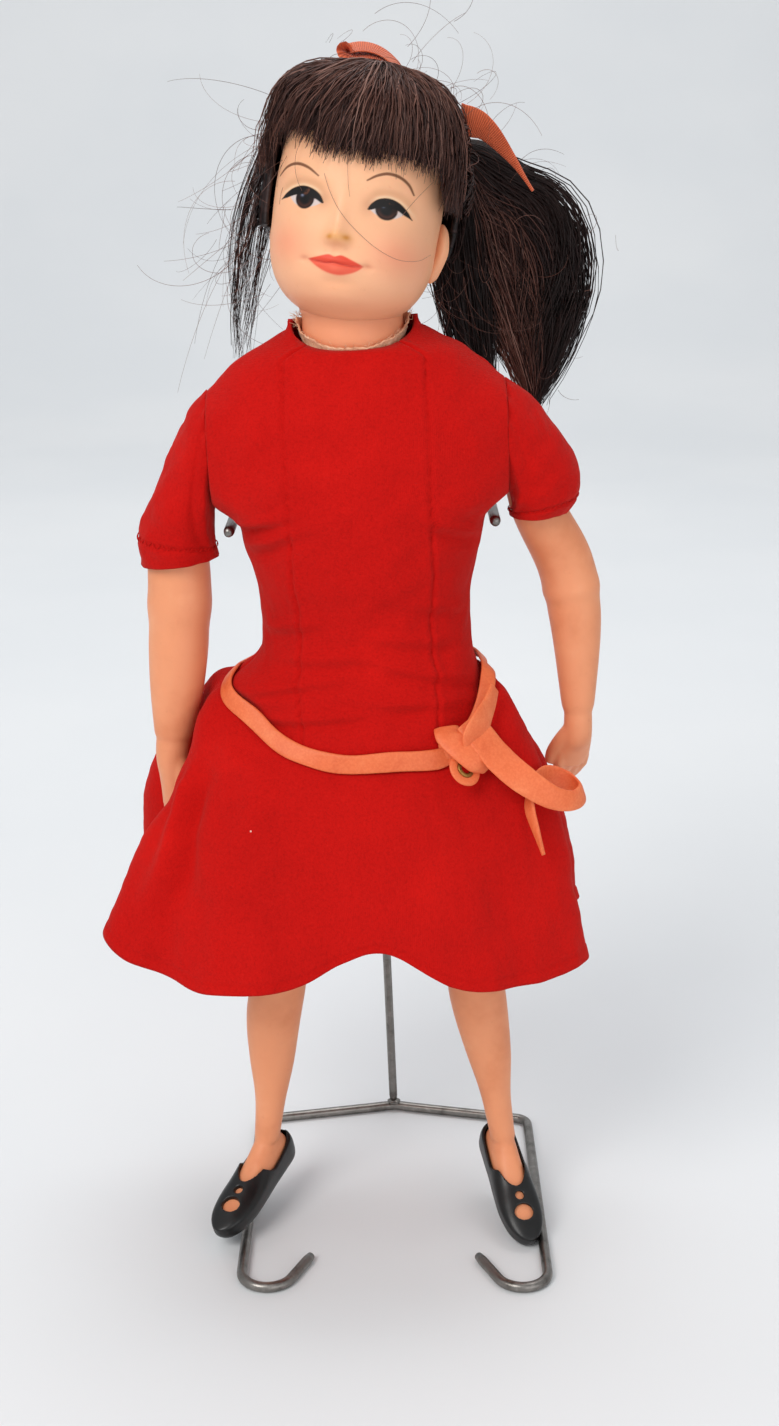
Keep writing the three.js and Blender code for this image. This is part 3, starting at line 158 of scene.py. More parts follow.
class Route:
    """A smooth curve through points, with its direction and two square to it."""

    def __init__(self, points, reference=(0, 1, 0), samples=400):
        points = [np.array(p, float) for p in points]
        knots = [points[0] + points[0] - points[1]] + points + [points[-1] + points[-1] - points[-2]]
        dense = []
        count = len(points) - 1
        for s in range(samples + 1):
            place = min(s / samples * count, count - 1e-9)
            i = int(place)
            w = place - i
            p0, p1, p2, p3 = knots[i:i + 4]
            d0, d1, d2 = (max(np.sum((b - a) ** 2) ** 0.25, 1e-6) for a, b in ((p0, p1), (p1, p2), (p2, p3)))
            m1 = ((p1 - p0) / d0 - (p2 - p0) / (d0 + d1) + (p2 - p1) / d1) * d1
            m2 = ((p2 - p1) / d1 - (p3 - p1) / (d1 + d2) + (p3 - p2) / d2) * d1
            c2 = -3 * p1 + 3 * p2 - 2 * m1 - m2
            c3 = 2 * p1 - 2 * p2 + m1 + m2
            dense.append(p1 + m1 * w + c2 * w * w + c3 * w ** 3)
        self.points = np.array(dense)
        self.t = np.linspace(0, 1, samples + 1)
        self.tangents = unit(np.gradient(self.points, axis=0))
        self.reference = np.array(reference, float)

    def at(self, t):
        t = np.asarray(t, float)
        return np.stack([np.interp(t, self.t, self.points[:, k]) for k in range(3)], -1)

    def frame(self, t):
        t = np.asarray(t, float)
        tangent = unit(np.stack([np.interp(t, self.t, self.tangents[:, k]) for k in range(3)], -1))
        side = unit(np.cross(self.reference, tangent))
        return tangent, side, np.cross(tangent, side)

    def beside(self, t, across, up):
        _, side, over = self.frame(t)
        return self.at(t) + side * np.asarray(across)[..., None] + over * np.asarray(up)[..., None]


def figure(points):
    """Doll's frame in mm to the shared frame in metres: set forward of the rod, leaning with it."""
    p = np.asarray(points, float)
    y = p[..., 1] - ROD_STANDOFF
    x = math.cos(LEAN) * p[..., 0] - math.sin(LEAN) * p[..., 2]
    z = math.sin(LEAN) * p[..., 0] + math.cos(LEAN) * p[..., 2]
    return np.stack([x, y, z], -1) / 1000


def upright(points):
    """The stand's own frame in mm, from the foot of its rod, to the shared frame in metres."""
    return np.asarray(points) / 1000


# Meshes

def mesh_object(name, points, faces, material, uv=None, colours=None):
    """A smooth mesh with a flat layer of cloth coordinates and a layer of painted colours, if given."""
    mesh = bpy.data.meshes.new(name)
    points = np.asarray(points, float).reshape(-1, 3)
    faces = np.asarray(faces, int)
    size = faces.shape[1]
    mesh.vertices.add(len(points))
    mesh.vertices.foreach_set("co", points.ravel())
    mesh.loops.add(faces.size)
    mesh.loops.foreach_set("vertex_index", faces.ravel())
    mesh.polygons.add(len(faces))
    mesh.polygons.foreach_set("loop_start", np.arange(0, faces.size, size))
    mesh.polygons.foreach_set("loop_total", np.full(len(faces), size))
    mesh.polygons.foreach_set("use_smooth", np.ones(len(faces), bool))
    if uv is not None:
        layer = mesh.uv_layers.new(name="cloth")
        layer.data.foreach_set("uv", np.asarray(uv, float).reshape(-1, 2)[faces.ravel()].ravel())
    if colours is not None:
        layer = mesh.color_attributes.new("paint", "FLOAT_COLOR", "POINT")
        rgba = np.ones((len(points), 4))
        rgba[:, :3] = np.asarray(colours).reshape(-1, 3)
        layer.data.foreach_set("color", rgba.ravel())
    mesh.update(calc_edges=True)
    mesh.validate()
    obj = bpy.data.objects.new(name, mesh)
    bpy.context.collection.objects.link(obj)
    if material is not None:
        mesh.materials.append(material)
    return obj


def grid_faces(rows, columns, wrap=False):
    """Quads of a grid whose points run along each row; wrap joins the last column to the first."""
    across = columns if wrap else columns - 1
    r, c = np.meshgrid(np.arange(rows - 1), np.arange(across), indexing="ij")
    a = r * columns + c
    b = r * columns + (c + 1) % columns
    return np.stack([a, b, b + columns, a + columns], -1).reshape(-1, 4)


def recalc(obj, close=False):
    """Turn every face outwards; close fills the open ends first."""
    bm = bmesh.new()
    bm.from_mesh(obj.data)
    if close:
        bmesh.ops.holes_fill(bm, edges=[e for e in bm.edges if e.is_boundary], sides=0)
        bm.normal_update()
    bmesh.ops.recalc_face_normals(bm, faces=bm.faces)
    bm.to_mesh(obj.data)
    bm.free()
    return obj


def apply_modifiers(obj):
    bpy.context.view_layer.update()
    depsgraph = bpy.context.evaluated_depsgraph_get()
    mesh = bpy.data.meshes.new_from_object(obj.evaluated_get(depsgraph), depsgraph=depsgraph)
    obj.modifiers.clear()
    obj.data = mesh


def thicken(obj, thickness):
    """Give an open sheet its thickness in mm, inwards from the face it was drawn with."""
    mod = recalc(obj).modifiers.new("thickness", "SOLIDIFY")
    mod.thickness = thickness / 1000
    mod.offset = -1
    mod.use_even_offset = False
    apply_modifiers(obj)


def melt(obj, voxel, passes, look):
    """Melt what overlaps or was cut into one even skin of one look; voxel is in mm."""
    remesh = obj.modifiers.new("melt", "REMESH")
    remesh.mode = "VOXEL"
    remesh.voxel_size = voxel / 1000
    remesh.use_smooth_shade = True
    even = obj.modifiers.new("even", "SMOOTH")
    even.factor = 0.5
    even.iterations = passes
    apply_modifiers(obj)
    obj.data.materials.clear()
    obj.data.materials.append(look)


def tubes(name, strands, radius, material, sides=3, taper=0.35, tone=None):
    """Many thin strands as one mesh: strands is (count, steps, 3) in the shared frame, radius in mm."""
    strands = np.asarray(strands, float)
    count, steps = strands.shape[:2]
    tangent = unit(np.gradient(strands, axis=1))
    helper = np.where(np.abs(tangent[:, :1, 2:3]) < 0.9, [[[0, 0, 1.0]]], [[[1.0, 0, 0]]])
    side = unit(np.cross(np.broadcast_to(helper, tangent.shape), tangent))
    over = np.cross(tangent, side)
    radii = np.broadcast_to(np.asarray(radius, float).reshape(-1, 1), (count, steps)) / 1000
    along = np.linspace(0, 1, steps)
    radii = radii * lerp(1, taper, along[None] ** 2)
    rings = []
    for turn in range(sides):
        a = 2 * PI * turn / sides
        rings.append(strands + (side * math.cos(a) + over * math.sin(a)) * radii[..., None])
    points = np.stack(rings, 2)
    i, s, k = np.meshgrid(np.arange(count), np.arange(steps - 1), np.arange(sides), indexing="ij")
    base = (i * steps + s) * sides
    nxt = (k + 1) % sides
    faces = np.stack([base + k, base + nxt, base + sides + nxt, base + sides + k], -1).reshape(-1, 4)
    if tone is None:
        tone = rng.uniform(0, 1, count)
    along_colour = np.broadcast_to(along[None, :, None], (count, steps, sides))
    tone_colour = np.broadcast_to(np.asarray(tone)[:, None, None], (count, steps, sides))
    colours = np.stack([tone_colour, along_colour, np.zeros_like(tone_colour)], -1)
    return mesh_object(name, points, faces, material, colours=colours)


# Materials

class Nodes:
    """One material's node tree, with short names for the nodes that the looks use."""

    def __init__(self, name, **shader):
        self.material = bpy.data.materials.new(name)
        self.material.use_nodes = True
        self.tree = self.material.node_tree
        self.shader = self.tree.nodes["Principled BSDF"]
        for key, value in shader.items():
            self.set(key.replace("_", " ").title(), value)

    def set(self, socket, value):
        socket = self.shader.inputs["Specular IOR Level" if socket == "Specular Level" else socket]
        if socket.type == "RGBA":
            value = (*value, 1)
        socket.default_value = value

    def node(self, kind, **values):
        node = self.tree.nodes.new(kind)
        for key, value in values.items():
            setattr(node, key, value)
        return node

    def link(self, start, end):
        self.tree.links.new(start, end)

    def place(self, kind="Object"):
        return self.node("ShaderNodeTexCoord").outputs[kind]

    def noise(self, place, scale, detail=3, rough=0.5):
        node = self.node("ShaderNodeTexNoise")
        node.inputs["Scale"].default_value = scale
        node.inputs["Detail"].default_value = detail
        node.inputs["Roughness"].default_value = rough
        self.link(place, node.inputs["Vector"])
        return node.outputs["Fac"]

    def wave(self, place, scale, direction, distortion, detail):
        node = self.node("ShaderNodeTexWave", bands_direction=direction)
        node.inputs["Scale"].default_value = scale
        node.inputs["Distortion"].default_value = distortion
        node.inputs["Detail"].default_value = detail
        self.link(place, node.inputs["Vector"])
        return node.outputs["Fac"]

    def ramp(self, value, *stops):
        """Colours of a value: stops are (value, red, green, blue), in sRGB from 0 to 255."""
        node = self.node("ShaderNodeValToRGB")
        node.color_ramp.interpolation = "EASE"
        elements = node.color_ramp.elements
        while len(elements) < len(stops):
            elements.new(0.5)
        for element, (at, *colour) in zip(elements, stops):
            element.position = at
            element.color = (*rgb(*colour), 1)
        self.link(value, node.inputs["Fac"])
        return node.outputs["Color"]

    def math(self, operation, a, b):
        node = self.node("ShaderNodeMath", operation=operation)
        for socket, value in zip(node.inputs, (a, b)):
            if isinstance(value, (int, float)):
                socket.default_value = value
            else:
                self.link(value, socket)
        return node.outputs["Value"]

    def mix(self, share, a, b, blend="MIX"):
        node = self.node("ShaderNodeMix", data_type="RGBA", blend_type=blend)
        for name, value in (("Factor", share), ("A", a), ("B", b)):
            sockets = [s for s in node.inputs if s.name == name and s.type in ("VALUE", "RGBA")]
            socket = sockets[0] if name == "Factor" else sockets[-1]
            if isinstance(value, (int, float)):
                socket.default_value = value
            elif isinstance(value, tuple):
                socket.default_value = (*value, 1)
            else:
                self.link(value, socket)
        return [s for s in node.outputs if s.type == "RGBA"][0]

    def bump(self, heights):
        """Bumps in a row: heights are (value, strength, distance in mm)."""
        normal = None
        for height, strength, distance in heights:
            node = self.node("ShaderNodeBump")
            node.inputs["Strength"].default_value = strength
            node.inputs["Distance"].default_value = distance / 1000
            self.link(height, node.inputs["Height"])
            if normal is not None:
                self.link(normal, node.inputs["Normal"])
            normal = node.outputs["Normal"]
        self.link(normal, self.shader.inputs["Normal"])

    def colour(self, value):
        self.link(value, self.shader.inputs["Base Color"])

    def roughness(self, value, low, high):
        node = self.node("ShaderNodeMapRange")
        node.inputs["To Min"].default_value = low
        node.inputs["To Max"].default_value = high
        self.link(value, node.inputs["Value"])
        self.link(node.outputs["Result"], self.shader.inputs["Roughness"])


def rgb(red, green, blue):
    """An sRGB colour, 0 to 255, as the shader's linear one."""
    out = []
    for value in (red, green, blue):
        v = value / 255
        out.append(v / 12.92 if v <= 0.04045 else ((v + 0.055) / 1.055) ** 2.4)
    return tuple(out)


def vinyl(name, *colours, painted=False):
    """Soft plastic skin in three tones, mottled and a little grimy; painted adds the mesh's own colours."""
    look = Nodes(name, subsurface_weight=0.1, subsurface_scale=0.002, specular_level=0.3)
    look.shader.inputs["Subsurface Radius"].default_value = (1.0, 0.45, 0.25)
    place = look.place()
    mottle = look.noise(place, 60, 4, 0.55)
    base = look.ramp(mottle, *((at, *colour) for at, colour in zip((0.25, 0.55, 0.85), colours)))
    if painted:
        paint = look.node("ShaderNodeVertexColor", layer_name="paint")
        base = look.mix(1.0, base, paint.outputs["Color"], "MULTIPLY")
    grime = look.noise(place, 420, 3, 0.6)
    look.colour(look.mix(look.ramp(grime, (0.62, 0, 0, 0), (0.8, *[123.5549] * 3)), base, rgb(200, 120, 85)))
    look.roughness(look.noise(place, 900, 2), 0.36, 0.54)
    look.bump([(look.noise(place, 2600, 2), 0.12, 0.05), (look.noise(place, 190, 2), 0.1, 0.35)])
    return look.material


def cotton():
    """Brushed red cotton: close weave, worn paler in patches, with lint caught on it."""
    look = Nodes("red_cotton", roughness=0.93, specular_level=0.12, sheen_weight=0.12, sheen_roughness=0.4)
    look.set("Sheen Tint", (1.0, 0.35, 0.28))
    place = look.place()
    cloth = look.place("UV")
    tone = look.noise(place, 26, 5, 0.6)
    base = look.ramp(tone, (0.25, 172, 12, 9), (0.5, 190, 15, 11), (0.75, 207, 20, 14))
    fine = look.noise(place, 1500, 4, 0.7)
    base = look.mix(0.35, base, look.ramp(fine, (0.3, 150, 8, 6), (0.55, 194, 16, 12), (0.8, 216, 38, 29)))
    lint = look.node("ShaderNodeTexVoronoi")
    lint.inputs["Scale"].default_value = 70
    look.link(place, lint.inputs["Vector"])
    speck = look.math("LESS_THAN", lint.outputs["Distance"], 0.022)
    base = look.mix(look.math("MULTIPLY", speck, 0.75), base, rgb(240, 205, 190))
    look.colour(base)
    warp = look.wave(cloth, 900, "X", 1.2, 2)
    weft = look.wave(cloth, 900, "Y", 1.2, 2)
    weave = look.math("MAXIMUM", warp, weft)
    look.bump([(weave, 0.5, 0.12), (fine, 0.5, 0.2), (look.noise(place, 150, 3), 0.3, 0.8)])
    return look.material


def lining_cloth():
    look = Nodes("raw_lining", roughness=0.95, specular_level=0.1, sheen_weight=0.1)
    place = look.place()
    tone = look.noise(place, 700, 4, 0.7)
    look.colour(look.ramp(tone, (0.3, 196, 128, 96), (0.5, 232, 178, 142), (0.75, 248, 214, 184)))
    look.bump([(tone, 0.7, 0.3)])
    return look.material


def soft_strap():
    look = Nodes("belt_leather", specular_level=0.38, subsurface_weight=0.08, subsurface_scale=0.002)
    place = look.place()
    tone = look.noise(place, 90, 5, 0.6)
    base = look.ramp(tone, (0.25, 214, 92, 48), (0.5, 230, 112, 64), (0.78, 240, 136, 86))
    grain = look.noise(place, 1500, 3, 0.6)
    look.colour(look.mix(0.15, base, look.ramp(grain, (0.35, 200, 80, 42), (0.7, 246, 150, 100))))
    look.roughness(tone, 0.42, 0.62)
    look.bump([(grain, 0.3, 0.12), (look.noise(place, 260, 3), 0.3, 0.35)])
    return look.material


def grosgrain():
    """Ribbed ribbon: ribs run across its width, along V of its own coordinates."""
    look = Nodes("ribbon_grosgrain", roughness=0.62, specular_level=0.3, sheen_weight=0.15)
    cloth = look.place("UV")
    place = look.place()
    rib = look.wave(cloth, 640, "X", 0.25, 1)
    tone = look.noise(place, 70, 4)
    base = look.ramp(tone, (0.3, 196, 74, 34), (0.55, 222, 98, 56), (0.8, 240, 130, 88))
    look.colour(look.mix(0.45, base, look.ramp(rib, (0.1, 150, 42, 16), (0.7, 238, 122, 78))))
    look.bump([(rib, 0.75, 0.3), (look.noise(place, 1300, 2), 0.3, 0.1)])
    return look.material


def hair_fibre():
    """Strands: the paint layer holds each strand's tone, painted light and shade included, and how far along it
    a point is.
    """
    look = Nodes("hair_fibre", roughness=0.42, specular_level=0.32)
    paint = look.node("ShaderNodeVertexColor", layer_name="paint")
    parts = look.node("ShaderNodeSeparateColor")
    look.link(paint.outputs["Color"], parts.inputs["Color"])
    tone = look.ramp(parts.outputs["Red"], (0.0, 18, 9, 8), (0.3, 52, 29, 25), (0.6, 98, 62, 52),
                     (0.85, 126, 86, 74), (1.0, 146, 108, 96))
    place = look.place()
    patch = look.noise(place, 160, 3)
    look.colour(look.mix(look.math("MULTIPLY", patch, 0.3), tone, rgb(24, 12, 12)))
    look.bump([(look.noise(place, 3200, 2), 0.2, 0.03)])
    return look.material


def hair_mass():
    """The solid hair under the strands, streaked the way they lie, and dark as painted shade under them."""
    look = Nodes("hair_mass", roughness=0.5, specular_level=0.35)
    cloth = look.place("UV")
    streak = look.wave(cloth, 180, "X", 6.0, 4)
    place = look.place()
    base = look.ramp(streak, (0.15, 12, 6, 6), (0.6, 30, 16, 15), (0.9, 52, 31, 28))
    look.colour(look.mix(look.math("MULTIPLY", look.noise(place, 200, 3), 0.5), base, rgb(18, 9, 9)))
    look.bump([(streak, 0.6, 0.35)])
    return look.material


def brass():
    look = Nodes("eyelet_brass", metallic=1.0)
    place = look.place()
    tone = look.noise(place, 600, 4, 0.7)
    look.colour(look.ramp(tone, (0.3, 92, 62, 30), (0.55, 160, 118, 62), (0.8, 206, 168, 104)))
    look.roughness(tone, 0.28, 0.55)
    look.bump([(tone, 0.25, 0.1)])
    return look.material


def steel():
    """Drawn wire: dark grey, brighter where it has been rubbed, with fine lengthwise marks."""
    look = Nodes("stand_steel", metallic=1.0)
    place = look.place()
    tone = look.noise(place, 240, 5, 0.65)
    look.colour(look.ramp(tone, (0.25, 92, 88, 84), (0.55, 134, 130, 126), (0.82, 176, 172, 166)))
    look.roughness(look.noise(place, 700, 3), 0.26, 0.48)
    look.bump([(look.noise(place, 1900, 3), 0.3, 0.08)])
    return look.material


def shoe_vinyl():
    look = Nodes("shoe_vinyl", specular_level=0.4, coat_weight=0.15, coat_roughness=0.22)
    place = look.place()
    tone = look.noise(place, 260, 5, 0.65)
    look.colour(look.ramp(tone, (0.3, 7, 7, 8), (0.6, 14, 14, 15), (0.85, 28, 28, 30)))
    look.roughness(tone, 0.3, 0.5)
    look.bump([(look.noise(place, 1400, 3), 0.25, 0.1)])
    return look.material


def paper(name, colour, shade):
    look = Nodes(name, roughness=0.55, specular_level=0.3)
    place = look.place()
    tone = look.noise(place, 3, 3)
    look.colour(look.ramp(tone, (0.3, *shade), (0.7, *colour)))
    look.bump([(look.noise(place, 400, 2), 0.05, 0.1)])
    return look.material


# The doll's sizes, the same as the solids'

ARM_PLANE = 37.2
HIP_HEIGHT = 150
HIP_REACH = 15
BODY_SQUARENESS = 2.2
NECK_RADIUS = 12.9
NECKLINE = {"front": 244, "side": 250.6, "back": 249}
BELT_SIDE_HEIGHT = 159
BELT_DROOP = 17.8
BELT_BACK_RISE = 2
BELT_KNOT_ANGLE = 0.77
BELT_WIDTH = 5
HEM_HEIGHT = 84.8
HEM_HALF_WIDTH = 66
HEM_HALF_DEPTH = {"front": 47, "back": 42}
HEM_SHIFT = -9
HEM_TILT = 0.03
HIP_SPRING = {"right": 7, "left": -0.6, "tall": 5}
FLARE = {"front": 0.76, "right": 0.53, "left": 0.4}
PRINCESS_SEAM_X = 17.5
PRINCESS_SEAM_SHARE = 0.62
COLLAR_HEIGHT = 242.2
CLOTH_THICKNESS = 0.9
LINING_THICKNESS = 0.35
RIBBON_WIDTH = 8
RIBBON_THICKNESS = 0.5
HAIR_THICKNESS = 1.3
SKIRT_LENGTH = 66
SKIRT_STITCHING = 3.1
SLEEVE_LENGTH = 12.0
SLEEVE_STITCHING = 1.9

body_section = profile([
    [136, 30, 21, 22], [144, 32.2, 24, 23], [150, 31.4, 22.6, 22], [158, 29.6, 20.8, 20],
    [166, 27.4, 19.6, 18.4], [173, 26.8, 19.6, 17.6], [183, 27.4, 21.2, 18], [193, 29.8, 23, 18.6],
    [201, 31.9, 23.4, 19], [206, 38, 23.2, 19], [214, 42, 22, 18.4], [222, 43, 20.2, 17.6],
    [230, 41.5, 18, 16.6], [236, 35, 16.8, 16], [241, 29.2, 16, 15.8], [245.5, 22.4, 15.2, 15.2],
    [250, 16.2, 15.2, 15.2], [253, 15, 15, 15],
])

# Folds of the skirt: angle, spread, depth, and whether it starts at the belt
SKIRT_FOLDS = [
    (-93, 16, 0.42, True), (96, 15, 0.28, True), (66, 12, -0.03, True), (-62, 12, -0.03, False),
    (118, 13, -0.1, False), (-116, 12, -0.04, False), (3, 15, 0.11, False), (-42, 8, 0.05, False),
    (44, 8, 0.05, False), (150, 12, 0.09, False), (-150, 12, 0.09, False), (180, 9, 0.06, False),
    (-180, 9, 0.06, False),
]
HEM_RISES = [(7, 14, 11), (-76, 24, 10.5), (86, 20, 2)]


def belt_line(angle):
    facing = np.cos(angle)
    kept = smoothstep(BELT_KNOT_ANGLE - 0.3, BELT_KNOT_ANGLE + 0.72, angle)
    droop = np.where(angle > 0, 1 - kept, np.clip(facing, 0, 1) ** 1.15)
    front = BELT_SIDE_HEIGHT - BELT_DROOP * droop
    return np.where(facing < 0, BELT_SIDE_HEIGHT + BELT_BACK_RISE * facing ** 2, front)


def neckline(angle):
    facing = np.cos(angle)
    low = np.where(facing > 0, NECKLINE["front"], NECKLINE["back"])
    return lerp(NECKLINE["side"], low, np.abs(facing))


def dress_point(height, angle):
    """A point of the dress, which springs off the hips just where the belt goes round."""
    height, angle = np.broadcast_arrays(np.asarray(height, float), np.asarray(angle, float))
    wide, front, back = read(body_section, height)
    spring = np.where(angle < 0, HIP_SPRING["right"], HIP_SPRING["left"])
    out = spring * bell(height, BELT_SIDE_HEIGHT, HIP_SPRING["tall"]) * np.sin(angle) ** 4
    depth = np.where(np.cos(angle) > 0, front, back)
    power = 2 / BODY_SQUARENESS
    x = (wide + out) * signed_power(np.sin(angle), power)
    y = -(depth + out) * signed_power(np.cos(angle), power)
    return np.stack([x, y, height], -1)


def skirt_point(angle, t):
    """A point of the skirt: t runs from the belt, 0, to the hem, 1."""
    degrees = np.degrees(angle)
    top = dress_point(belt_line(angle), angle)
    depth = 0
    for at, spread, deep, from_belt in SKIRT_FOLDS:
        depth = depth + deep * (1 if from_belt else t) * bell(degrees, at, spread)
    spread = 1 - depth
    half_depth = np.where(np.cos(angle) > 0, HEM_HALF_DEPTH["front"], HEM_HALF_DEPTH["back"])
    hem_x = HEM_SHIFT + HEM_HALF_WIDTH * signed_power(np.sin(angle), 0.9) * spread
    hem_y = -half_depth * signed_power(np.cos(angle), 0.9) * spread
    rise = sum(up * bell(degrees, at, wide) for at, wide, up in HEM_RISES)
    hem_z = HEM_HEIGHT - HEM_TILT * hem_x + rise
    flare = t ** lerp(FLARE["front"], np.where(angle < 0, FLARE["right"], FLARE["left"]), np.sin(angle) ** 2)
    x, y = lerp(top[..., 0], hem_x, flare), lerp(top[..., 1], hem_y, flare)
    return np.stack([x, y, lerp(top[..., 2], hem_z, t)], -1)


def outward_of(grid):
    """Unit normals of a closed grid of points, pointing away from its middle."""
    across = np.roll(grid, -1, 1) - np.roll(grid, 1, 1)
    normal = unit(np.cross(across, np.gradient(grid, axis=0)))
    facing = np.sum(normal * (grid - grid.mean(axis=(0, 1))) * [1, 1, 0], -1)
    return normal * np.where(facing.sum() < 0, -1, 1)


def ripple(places, size, seed, octaves=3):
    """Smooth random waves through space, about -1 to 1, with a typical size in mm."""
    source = np.random.RandomState(seed)
    value = np.zeros(places.shape[:-1])
    total = 0
    for octave in range(octaves):
        weight = 0.5 ** octave
        for _ in range(6):
            heading = source.normal(size=3)
            heading /= np.linalg.norm(heading) * size / 2 ** octave / (2 * PI) * source.uniform(0.7, 1.4)
            value += weight * np.sin(places @ heading + source.uniform(0, 2 * PI)) / 6 ** 0.5
        total += weight
    return value / total


# Dress

def bodice(cotton_look):
    """The dress above the belt, with its seams, creases and armholes."""
    columns, rows = 340, 130
    angle, v = net(columns, rows)
    height = lerp(belt_line(angle) + 0.3, neckline(angle), v)
    grid = dress_point(height, angle)
    normal = outward_of(grid)
    wide = read(body_section, height)[0]
    seam = np.arcsin(np.minimum(PRINCESS_SEAM_X / wide, PRINCESS_SEAM_SHARE) ** (BODY_SQUARENESS / 2))
    raised = np.zeros_like(height)
    for edge in (seam, -seam):
        away = (angle - edge) * wide
        pucker = 0.72 + 0.28 * np.sin(height * 1.9 + edge * 4)
        raised -= 0.55 * bell(away, 0, 0.42) * pucker
        raised += 0.2 * np.exp(-(np.abs(away) - 1.5) ** 2 / 1.1) * pucker
    for seam_away in (np.abs(angle) - PI / 2, PI - np.abs(angle)):
        raised -= 0.45 * bell(seam_away * wide, 0, 0.45)
    x, z = grid[..., 0], grid[..., 2]
    front = smoothstep(0.1, 0.6, np.cos(angle))
    back = 1 - smoothstep(-0.6, -0.1, np.cos(angle))
    # Soft creases: across the waist at the belt, under the bust, and from each armhole
    creases = [
        (-12, 153.5, 15, 1.3, 0.85, 0.10), (8, 156.5, 12, 1.3, 0.8, -0.10), (-20, 161, 11, 1.2, 0.8, 0.16),
        (14, 163.5, 12, 1.5, 0.9, -0.30), (-10, 168.5, 15, 1.7, 0.6, 0.05), (12, 172, 13, 1.6, 0.6, -0.12),
        (-21, 176, 9, 1.6, 0.6, 0.2), (20, 180, 9, 1.7, 0.5, -0.2), (-24, 198.5, 9, 1.8, 1.0, 0.38),
        (-25, 203.5, 8, 1.5, 0.9, 0.3), (24, 200, 9, 1.8, 0.9, -0.38), (2, 186, 18, 3.5, 0.35, 0.0),
        (-14, 214, 13, 3.6, 0.5, 0.22), (14, 217, 13, 3.2, 0.4, -0.2), (0, 228, 16, 3.8, 0.35, 0.02),
        (-26, 222, 6, 3.5, 0.6, 0.9), (27, 224, 6, 3.5, 0.5, -0.9),
    ]
    for at_x, at_z, long, thick, high, slant in creases:
        above = z - at_z - slant * (x - at_x)
        reach = bell(x, at_x, long)
        ridge = bell(above, 0, thick) - 0.75 * bell(above, -1.8 * thick, thick)
        raised += front * high * reach * ridge
    for at_z, high in ((158, 0.5), (164, 0.6), (171, 0.5), (180, 0.35)):
        raised += back * high * np.sin((z - at_z) * 0.9 + 0.05 * x) * bell(z, at_z, 5)
    # Above the shoulders the collar draws in towards the neck
    closing = np.clip((height - COLLAR_HEIGHT) / (neckline(angle) - COLLAR_HEIGHT), 0, 1)[..., None] ** 2
    snug = (NECK_RADIUS + 1.35 + 1.9 * np.sin(angle) ** 2)[..., None] * grid[..., :2]
    snug = snug / np.linalg.norm(grid[..., :2], axis=-1, keepdims=True)
    grid[..., :2] = lerp(grid[..., :2], snug, closing)
    calm = smoothstep(0, 0.03, v) * (1 - smoothstep(0.985, 1, v))
    raised = 1.35 * raised + calm * 0.4 * ripple(grid, 17, 3)
    raised -= 0.3 * bell(neckline(angle) - height, 2.2, 0.35)
    grid = grid + normal * raised[..., None]
    # The armholes are where the body would go past the arms' planes
    side_plane = ARM_PLANE - 0.02
    open_side = np.abs(grid[..., 0]) > side_plane
    grid[..., 0] = np.clip(grid[..., 0], -side_plane, side_plane)
    uv = np.stack([angle * 0.03, height * 0.001], -1)
    faces = grid_faces(rows, columns, True)
    keep = ~np.all(open_side.reshape(-1)[faces], axis=1)
    obj = mesh_object("bodice", figure(grid), faces[keep], cotton_look, uv=uv)
    thicken(obj, CLOTH_THICKNESS)
    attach(obj, "torso")
    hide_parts("bodice_front", "bodice_side_front_right", "bodice_side_front_left",
                "bodice_back_right", "bodice_back_left")
    return obj


